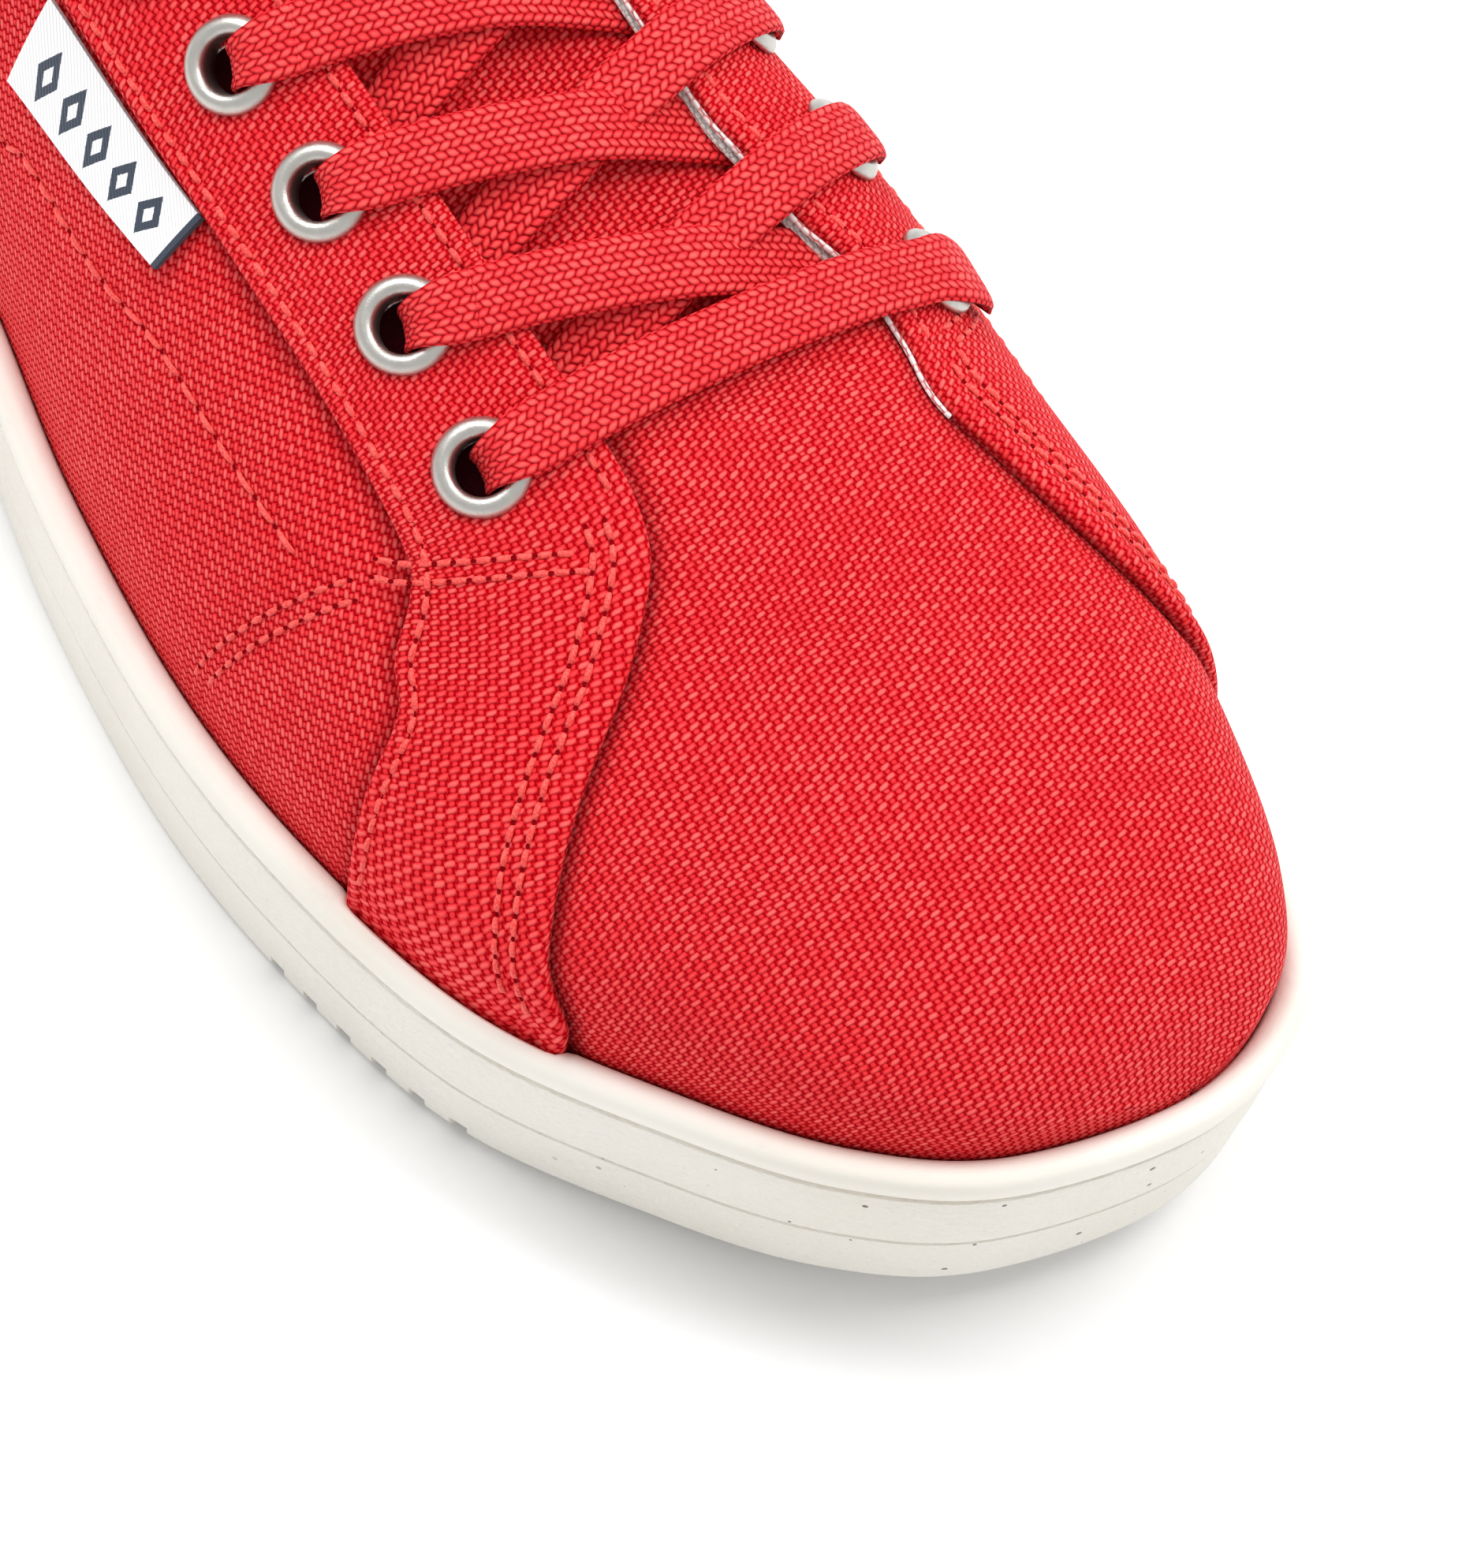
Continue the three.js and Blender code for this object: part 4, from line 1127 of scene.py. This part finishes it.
def build_vamp(top_lines):
    def folded(points, side):
        return np.stack([points[:, 0], side * (90 - points[:, 1])], -1)
    left = folded(curve_through(((8.55, 66.0),) + BAND_BORDER[LATERAL_SIDE])[::-1], LATERAL_SIDE)
    right = folded(curve_through(((8.46, 82.0),) + BAND_BORDER[MEDIAL_SIDE]), MEDIAL_SIDE)
    low, toe = 90 - SKIRT, 13.985
    border = np.concatenate([left, np.linspace(left[-1], right[0], 40)[1:-1], right,
                             np.linspace((right[-1][0], low), (toe, low), 70)[1:],
                             np.linspace((toe, low), (toe, -low), 60)[1:-1],
                             np.linspace((toe, -low), (left[0][0], -low), 70)[1:]])
    tucks = [folded(line, side) for side, line in top_lines.items()]
    panel("vamp", border, over_ridge, (ROW_STEP, PHI_STEP), CANVAS, CLOTH, 1.0, (0.995, -0.105, 0),
          (95, 5, 55), dents=CREASES, tucks=tucks)
    panel("lining_vamp", border, over_ridge, (ROW_STEP * 2, PHI_STEP * 2), LINING, INSIDE, 0.55,
          (1, 0, 0), (95, 5, 55))


def add_stitches():
    piece = add_mesh("stitches", np.array(STITCH_POINTS), STITCH_FACES, THREAD)
    declare(piece, "canvas", "upper")
    # The needle holes' dark ovals: painted shade.
    hole_shadow_discs = add_mesh("needle_hole_shades", np.array(HOLE_POINTS), HOLE_FACES, NEEDLE_HOLE_SHADE)
    declare(hole_shadow_discs, "canvas", "upper")


# ------------------------------------------------------------------ cupsole
SOLE_PROFILE = (  # inset, level, height over that level
    (5.5, "tread", 0.0), (2.6, "tread", 0.0), (1.9, "tread", 0.25), (1.45, "tread", 0.9),
    (1.3, "tread", 1.8), (0.85, "rim", -16.2), (0.85, "rim", -15.85), (1.3, "rim", -15.55),
    (1.3, "rim", -15.35), (0.74, "rim", -15.05), (0.68, "rim", -14.7), (0.5, "rim", -10.0),
    (0.34, "rim", -5.3), (0.42, "rim", -4.95), (1.05, "rim", -4.5), (1.05, "rim", -4.2), (0.36, "rim", -3.75),
    (0.12, "rim", -3.5), (0.0, "rim", -2.7), (0.02, "rim", -1.9), (0.28, "rim", -1.0), (0.8, "rim", -0.35),
    (1.5, "rim", -0.03), (2.2, "rim", 0.05), (2.9, "rim", -0.1), (3.5, "rim", -0.5), (3.95, "rim", -1.3),
    (4.0, "rim", -4.0), (4.0, "floor", 0.0))


# Cross grooves of the tread: first x, pitch, amount, width, height, half length.
GROOVES = ((59.5, 5.4, 6, 2.2, 2.4, 110), (-122, 9, 4, 2.6, 2.2, 22), (26, 8, 2, 2.6, 2.2, 34))
BOX_FACES = ((0, 2, 3, 1), (4, 5, 7, 6), (0, 1, 5, 4), (2, 6, 7, 3), (0, 4, 6, 2), (1, 3, 7, 5))
LIP_PUSH = 1.25    # how far the lip gives way where an overlay passes under it


def groove_knife():
    corners = []
    for first, pitch, amount, width, height, reach in GROOVES:
        for x in (first + pitch * k for k in range(amount)):
            top = float(tread_height(x)) + height
            corners += [(x + part, y, z) for z in (-3.0, top) for y in (-reach, reach)
                        for part in (-width / 2, width / 2)]
    faces = [tuple(i + base for i in face) for base in range(0, len(corners), 8) for face in BOX_FACES]
    knife = add_mesh("groove_knife", np.array(corners), faces, RUBBER)
    knife.data.uv_layers.new(name=UV_NAME)
    return knife


def build_cupsole():
    fine = np.linspace(0, LAST, 3000)
    count = 330
    outer = {}
    for side in (LATERAL_SIDE, MEDIAL_SIDE):
        length = run_length(outline(fine, side, 0.0))
        outer[side] = np.interp(np.linspace(0, length[-1], count), length, fine)
    rows = np.concatenate([outer[LATERAL_SIDE], outer[MEDIAL_SIDE][::-1][1:-1]])
    sides = np.concatenate([np.full(count, -1.0), np.full(count - 2, 1.0)])
    level = {"tread": tread_height, "rim": rim_height, "floor": cup_floor}
    edge0 = outline(rows, sides, 0.0)
    along = run_length(edge0)
    pushed = np.zeros(len(rows))
    for side in (LATERAL_SIDE, MEDIAL_SIDE):
        first, last = STRIP_REAR[side][-2][0], FRONT_FOOT[side][-2][0]
        under = smooth_step(first - 0.03, first + 0.05, rows) * smooth_step(last + 0.04, last - 0.04, rows)
        pushed += LIP_PUSH * under * (sides == side)
    loops, uv = [], []
    for inset, name, z in SOLE_PROFILE:
        shift = pushed * np.clip((inset - 1.6) / 2.0, 0, 1) * (name != "tread")
        edge = outline(rows, sides, inset - shift)
        height = level[name](edge[:, 0]) + z
        loops.append(np.c_[edge, height])
        uv.append(np.c_[along, rim_height(edge0[:, 0]) - height + (60 if inset > 3.97 else 0)])
    n = len(rows)
    bottom = [face[::-1] for face in cap_faces(0, n)]
    faces = tube_faces(len(loops), n) + bottom + cap_faces((len(loops) - 1) * n, n)
    sole = add_mesh("cupsole_rubber", np.concatenate(loops), faces, RUBBER)
    set_uv(sole, np.concatenate(uv))
    knife = groove_knife()
    cut = sole.modifiers.new("grooves", "BOOLEAN")
    cut.operation = "DIFFERENCE"
    cut.solver = "EXACT"
    cut.object = knife
    bpy.context.view_layer.objects.active = sole
    bpy.ops.object.modifier_apply(modifier=cut.name)
    bpy.data.objects.remove(knife)
    sole.data.shade_smooth()
    sole.data.set_sharp_from_angle(angle=math.radians(42))
    declare(sole, "cupsole", "cupsole")


def build_insole():
    rows = np.concatenate([np.linspace(0, LAST, 140), np.linspace(LAST, 0, 140)[1:-1]])
    sides = np.concatenate([np.full(140, -1.0), np.full(138, 1.0)])
    loops, uv = [], []
    for inset, z in ((6.2, 0.3), (6.2, 3.0), (6.5, 3.8), (7.3, 4.3), (14, 4.35)):
        edge = outline(rows, sides, inset)
        loops.append(np.c_[edge, cup_floor(edge[:, 0]) + z])
        uv.append(edge)
    n = len(rows)
    faces = tube_faces(len(loops), n) + cap_faces((len(loops) - 1) * n, n)
    piece = add_mesh("insole_sock", np.concatenate(loops), faces, LINING, 50)
    set_uv(piece, np.concatenate(uv))
    declare(piece, "lining", "insole")


# ------------------------------------------------------------------ tongue
TONGUE_FRONT, TONGUE_TOP = 66, -47


def tongue_half_width(x):
    from_top = np.clip((x - TONGUE_TOP) / 12, 0, 1)
    narrowing = 1 - smooth_step(-30, 60, x)
    return (24.5 - 3.5 * narrowing) * (0.62 + 0.38 * np.sqrt(1 - (1 - from_top) ** 2))


def build_tongue():
    columns, rows = ((110, 48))
    u = np.linspace(0, 1, columns + 1)[:, None]
    v = np.linspace(-1, 1, rows + 1)[None]
    x = TONGUE_FRONT + (TONGUE_TOP - TONGUE_FRONT) * u + 0 * v
    y = 1 + 6.5 * smooth_step(-40, 55, x) + v * tongue_half_width(x)
    edge = np.minimum((1 - np.abs(v)) * tongue_half_width(x), x - TONGUE_TOP)
    roll = 0.5 * np.clip(1 - edge / 1.2, 0, 1) ** 2
    wave = 0.35 * np.sin(x / 9.0) * np.sin(y / 7.0 + 1.0)
    uv = np.stack([x, y], -1)
    for name, outer, inner, material, slot in (("tongue_outside", 3.8, 5.2, TONGUE_CANVAS, "tongue_canvas"),
                                                ("tongue_lining", 5.2, 6.3, LINING, "lining")):
        layers = [over_plan(x, y, outer + roll + wave), over_plan(x, y, inner + wave)]
        declare(closed_sheet(name, layers, [uv, uv], material), slot, "tongue")


# ------------------------------------------------------------------ eyelets
EYELET_PROFILE = (  # radius, height over the overlay
    (3.05, -3.1), (3.05, -1.2), (3.05, 0.2), (3.12, 0.75), (3.4, 1.2), (3.85, 1.42), (4.35, 1.36),
    (4.8, 1.08), (5.15, 0.68), (5.33, 0.25), (5.25, -0.1), (4.6, -0.15), (3.5, -0.15), (3.5, -3.0),
    (4.4, -3.1), (4.4, -3.3), (3.1, -3.3))


def build_eyelets():
    around = 56
    shadow_disc_points, shadow_disc_faces = [], []
    for side, word in ((LATERAL_SIDE, "lateral"), (MEDIAL_SIDE, "medial")):
        for number in range(EYELET_PAIRS):
            x, y = eyelet_plan(side, number)
            centre = over_plan(x, y, OVERLAY)
            normal = plan_normal(x, y)
            first = unit(np.cross(normal, (0.0, 1.0, 0.0)))
            second = np.cross(normal, first)

            def circle(radius, height, count):
                return [centre + (first * math.cos(t) + second * math.sin(t)) * radius + normal * height
                        for t in np.linspace(0, 2 * math.pi, count, endpoint=False)]
            points = [point for radius, height in EYELET_PROFILE for point in circle(radius, height, around)]
            faces = [face[::-1] for face in tube_faces(len(EYELET_PROFILE), around, closed=True)]
            piece = add_mesh(f"ring_{word}_{number + 1}", np.array(points), faces, METAL)
            declare(piece, "eyelet_metal", f"eyelet_{word}_{number + 1}")
            # A dark disc deep in each eyelet's barrel: painted shadow inside the hole.
            shadow_disc_faces.append(tuple(range(len(shadow_disc_points), len(shadow_disc_points) + 16)))
            shadow_disc_points += circle(3.3, -2.4, 16)
    shadow_discs = add_mesh("eyelet_hole_shadows", np.array(shadow_disc_points), shadow_disc_faces, EYELET_SHADOW)
    declare(shadow_discs, "canvas", "upper")


# ------------------------------------------------------------------ laces
LACE_WIDTH, LACE_THICKNESS = 7.6, 1.5
SECTION_SIDES = 18


def throat_y(side, x):
    edge = np.array(THROAT_EDGE[side] + FRONT_EDGE[side][:2])
    return np.interp(x, edge[:, 0], edge[:, 1])


def lace_section(width, thickness, curl):
    """A rounded flat section as (across, up); curl lifts its two edges."""
    angle = np.linspace(0, 2 * math.pi, SECTION_SIDES, endpoint=False)
    across = np.sign(np.cos(angle)) * np.abs(np.cos(angle)) ** 0.55 * width / 2
    up = np.sign(np.sin(angle)) * np.abs(np.sin(angle)) ** 0.8 * thickness / 2
    return across, up + curl * (2 * across / width) ** 2


def ribbon(points, lifts, widths, curls, rolls, out):
    """One flat lace along plan points, at the given heights over the canvas."""
    points_out, faces_out, uv_out = out
    keys = np.c_[points, lifts, widths, curls, rolls]
    dense = resample(curve_through(keys, 20), 0.7, lambda a, b, d: np.stack([a, b, 0 * a], -1))
    x, y, lift, width, curl, roll = dense.T
    normal = plan_normal(x, y)
    centre = over_plan(x, y) + normal * lift[:, None]
    tangent = unit(np.gradient(centre, axis=0))
    across = unit(np.cross(normal, unit(np.gradient(np.stack([x, y, 0 * x], -1), axis=0))))
    up = unit(np.cross(tangent, across))
    c, s = np.cos(np.radians(roll))[:, None], np.sin(np.radians(roll))[:, None]
    across, up = across * c + up * s, up * c - across * s
    length = run_length(centre) + RNG.random() * 10
    faces_out += tube_faces(len(x), SECTION_SIDES, len(points_out), ends=True)
    for k in range(len(x)):
        thickness = LACE_THICKNESS * (1 + 0.25 * (LACE_WIDTH / width[k] - 1))
        side_way, rise = lace_section(width[k], thickness, curl[k])
        points_out.extend(centre[k] + across[k] * side_way[:, None] + up[k] * rise[:, None])
        spread = side_way * LACE_WIDTH / width[k] + np.where(rise < -0.3, 20.0, 0.0)
        uv_out.extend(np.stack([np.full(SECTION_SIDES, length[k]), spread], -1))


def dive(eyelet, length, side, past=0.0):
    """Keys from 8 mm before an eyelet's centre down into its hole, as shares of the way. On the
    medial side the lace folds over the hole's far edge, by past more millimetres."""
    if side == MEDIAL_SIDE:
        keys = ((-8.0, 1.9, 7.6, 0), (-4.0, 2.7, 7.6, 0), (-1.0, 3.3, 7.4 + past, 0),
                (1.2 + past, 2.9, 7.1 + past, 0), (2.3 + past, 1.4, 6.6 + past, 0.2),
                (2.2 + past, -0.4, 5.8, 0.5), (1.4, -2.2, 5.0, 0.8), (1.0, -3.4, 4.6, 1.0))
    else:
        keys = ((-8.0, 1.85, 7.6, 0), (-5.6, 2.4, 7.4, 0), (-3.7, 2.65, 6.7, 0.25), (-2.2, 2.0, 5.6, 0.7),
                (-1.1, 0.2, 4.8, 1.0), (-0.6, -1.6, 4.6, 1.0), (-0.4, -3.4, 4.6, 1.0))
    flat = min(1.0, float(plan_normal(*eyelet)[2]) / 0.8)    # less in plan where the upper is steep
    return [(1 + key[0] * flat / length,) + key[1:] + (0,) for key in keys]


def strand(start, end, keys, out):
    start, end = np.array(start), np.array(end)
    share, *rest = np.array(keys, float).T
    ribbon(start + (end - start) * share[:, None], *rest, out)


def finish_lace(name, out, node):
    piece = add_mesh(name, np.array(out[0]), out[1], LACE)
    edit(piece, bpy.ops.mesh.normals_make_consistent)
    set_uv(piece, out[2])
    declare(piece, "lace", node)


def build_laces():
    """The bar at the lowest pair of eyelets, then five crossings of two strands each."""
    start, end = eyelet_plan(MEDIAL_SIDE, 0), eyelet_plan(LATERAL_SIDE, 0)
    start = (start[0] + 0.8, start[1])
    length = math.dist(start, end)
    keys = [(1 - key[0],) + key[1:] for key in reversed(dive(start, length, MEDIAL_SIDE, 1.3))]
    keys += [(0.32, 1.7, 7.6, 0, 0), (0.5, 1.5, 7.6, 0, 2), (0.72, 1.6, 7.6, 0, 0)]
    out = ([], [], [])
    strand(start, end, keys + dive(end, length, LATERAL_SIDE), out)
    finish_lace("lace_bar_braid", out, "lace_bar")
    for number in range(1, EYELET_PAIRS):
        out = ([], [], [])
        for side, lift in ((MEDIAL_SIDE, -0.35), (LATERAL_SIDE, 1.25)):
            start, end = eyelet_plan(-side, number - 1), eyelet_plan(side, number)
            leave, meet = ((throat_y(which, x) - start[1]) / (end[1] - start[1])
                           for which, x in ((-side, start[0] - 4), (side, end[0] + 4)))
            middle = 0.5 * (leave + meet)
            keys = [(0.0, -3.0, 7.0, 0, 0), (leave * 0.6, -2.9, 7.6, 0, 0), (leave + 0.03, -2.45, 7.6, 0, 0),
                    (middle - 0.04, lift - 0.1, 7.6, 0, 0), (middle + 0.06, lift + 0.05, 7.6, 0, 0),
                    (meet - 0.01, 1.6, 7.6, 0, 0), (meet + 0.07, 2.05, 7.6, 0, 0)]
            strand(start, end, keys + dive(end, math.dist(start, end), side), out)
        finish_lace(f"lace_cross_{number}_braid", out, f"lace_cross_{number}")


# ------------------------------------------------------------------ tab, heel strip, collar
def build_label():
    """The tab hangs from the facing's lower edge, between two rows; its corners are given by phi."""
    u = np.linspace(0, 1, 41)[:, None]
    v = np.linspace(0, 1, 15)[None]
    row = 6.02 + (7.06 - 6.02) * u + 0 * v
    low = 24.8 + (35.1 - 24.8) * u
    high = 35.6 + (42.6 - 35.6) * u
    phi = low + (high - low) * v
    lift = -0.1 + 0.65 * (1 - v) + 0.3 * np.clip(u - 0.8, 0, 1) * 5 * (1 - v)
    layers = [on_last(row, LATERAL_SIDE, phi, -(lift + extra)) for extra in (0.62, 0.0)]
    uv = np.stack([(u - 0.5) * 27.0 + 0 * v, (v - 0.5) * 7.0 + 0 * u], -1)
    piece = closed_sheet("woven_tab", layers, [uv, uv + (0, 100.0)], TWILL, 50)
    declare(piece, "label_twill", "label")


def build_heel():
    half, top = 0.72, heel_phi(LATERAL_SIDE)
    up = np.linspace(SKIRT, top - 0.2, 60)
    left = np.stack([0.2 * (up - SKIRT) / (top - SKIRT) - half, up], -1)
    right = (left * (-1, 1))[::-1]
    border = np.concatenate([left, np.linspace(left[-1], right[0], 14)[1:-1], right,
                             np.linspace(right[-1], left[0], 20)[1:-1]])
    seams = [shift_sideways(line, round_heel, -2.0) for line in (left, right)]
    panel("heel_strip", border, round_heel, (0.05 * GRID, 0.9 * GRID), CANVAS, OVERLAY, 1.3,
          (0, 1, 0), (-134, 0, 60), [left, right], seams)
    for line in seams:
        stitch_row(round_heel, line, OVERLAY + 0.12)


# How far down and how far out the folded tape's section runs.
COLLAR_PROFILE = ((5.0, 0.15), (4.9, 0.7), (4.2, 0.85), (2.5, 0.85), (1.0, 0.85), (0.0, 0.75), (-0.7, 0.2),
                  (-1.0, -0.6), (-0.9, -1.4), (-0.5, -2.1), (0.3, -2.65), (1.5, -2.85), (3.5, -2.85),
                  (4.6, -2.8), (4.9, -2.2), (2.0, -1.2))


def build_collar():
    """A folded tape over the collar's edge, from the throat round the heel to the throat."""
    path = np.concatenate([collar_edge(LATERAL_SIDE) * (-1, 1), collar_edge(MEDIAL_SIDE)[-2::-1]])
    solid, tangent, normal = surface_frame(round_heel, resample(path, 1.3, round_heel))
    for _ in range(4):
        tangent[1:-1] = unit(tangent[:-2] + 2 * tangent[1:-1] + tangent[2:])
    down = np.cross(normal, tangent)
    down[down[:, 2] > 0] *= -1
    profile = np.array(COLLAR_PROFILE)
    fall, out = profile.T[..., None]
    points = solid[:, None] + down[:, None] * fall + normal[:, None] * out
    uv = np.stack(np.meshgrid(run_length(solid), run_length(profile), indexing="ij"), -1)
    faces = tube_faces(len(solid), len(profile), ends=True)
    piece = add_mesh("collar_binding", points.reshape(-1, 3), faces, CANVAS)
    edit(piece, bpy.ops.mesh.normals_make_consistent)
    set_uv(piece, uv.reshape(-1, 2))
    declare(piece, "canvas", "upper")


# ------------------------------------------------------------------ stage and light
def area_light(name, place, aim, size, power, colour=(1, 1, 1)):
    data = bpy.data.lights.new(name, "AREA")
    data.shape = "DISK"
    data.size = size
    data.energy = power
    data.color = colour
    lamp = bpy.data.objects.new(name, data)
    lamp.location = place
    lamp.rotation_euler = (Vector(aim) - Vector(place)).to_track_quat("-Z", "Y").to_euler()
    bpy.context.scene.collection.objects.link(lamp)


def build_stage():
    net = Net("white_floor")
    paper = net.noise(net.place(), 0.4, 3.0)
    net.set(Base_Color=net.mix(paper, (0.90, 0.90, 0.90, 1), (0.92, 0.92, 0.92, 1)),
            Roughness=0.9, Specular_IOR_Level=0.1)
    size = 2500.0
    floor = add_mesh("floor", np.array([(-size, -size, -0.02), (size, -size, -0.02), (size, size, -0.02),
                                        (-size, size, -0.02)]), [(0, 1, 2, 3)], net.material)
    world = bpy.data.worlds.new("studio")
    bpy.context.scene.world = world
    world.use_nodes = True
    ground = world.node_tree.nodes["Background"]
    ground.inputs[0].default_value = (1, 1, 1, 1)
    ground.inputs[1].default_value = 0.76
    area_light("key", (-0.75, -0.15, 1.3), (0.06, 0, 0.03), 0.8, 12.0)
    area_light("fill", (0.25, 0.75, 1.35), (0.06, 0, 0.03), 0.8, 12.0)
    bpy.context.scene.view_settings.view_transform = "Standard"


make_camera()
build_stage()
build_vamp({which: build_side(which) for which in (LATERAL_SIDE, MEDIAL_SIDE)})
build_heel()
build_collar()
add_stitches()
build_cupsole()
build_insole()
build_tongue()
build_eyelets()
build_laces()
build_label()
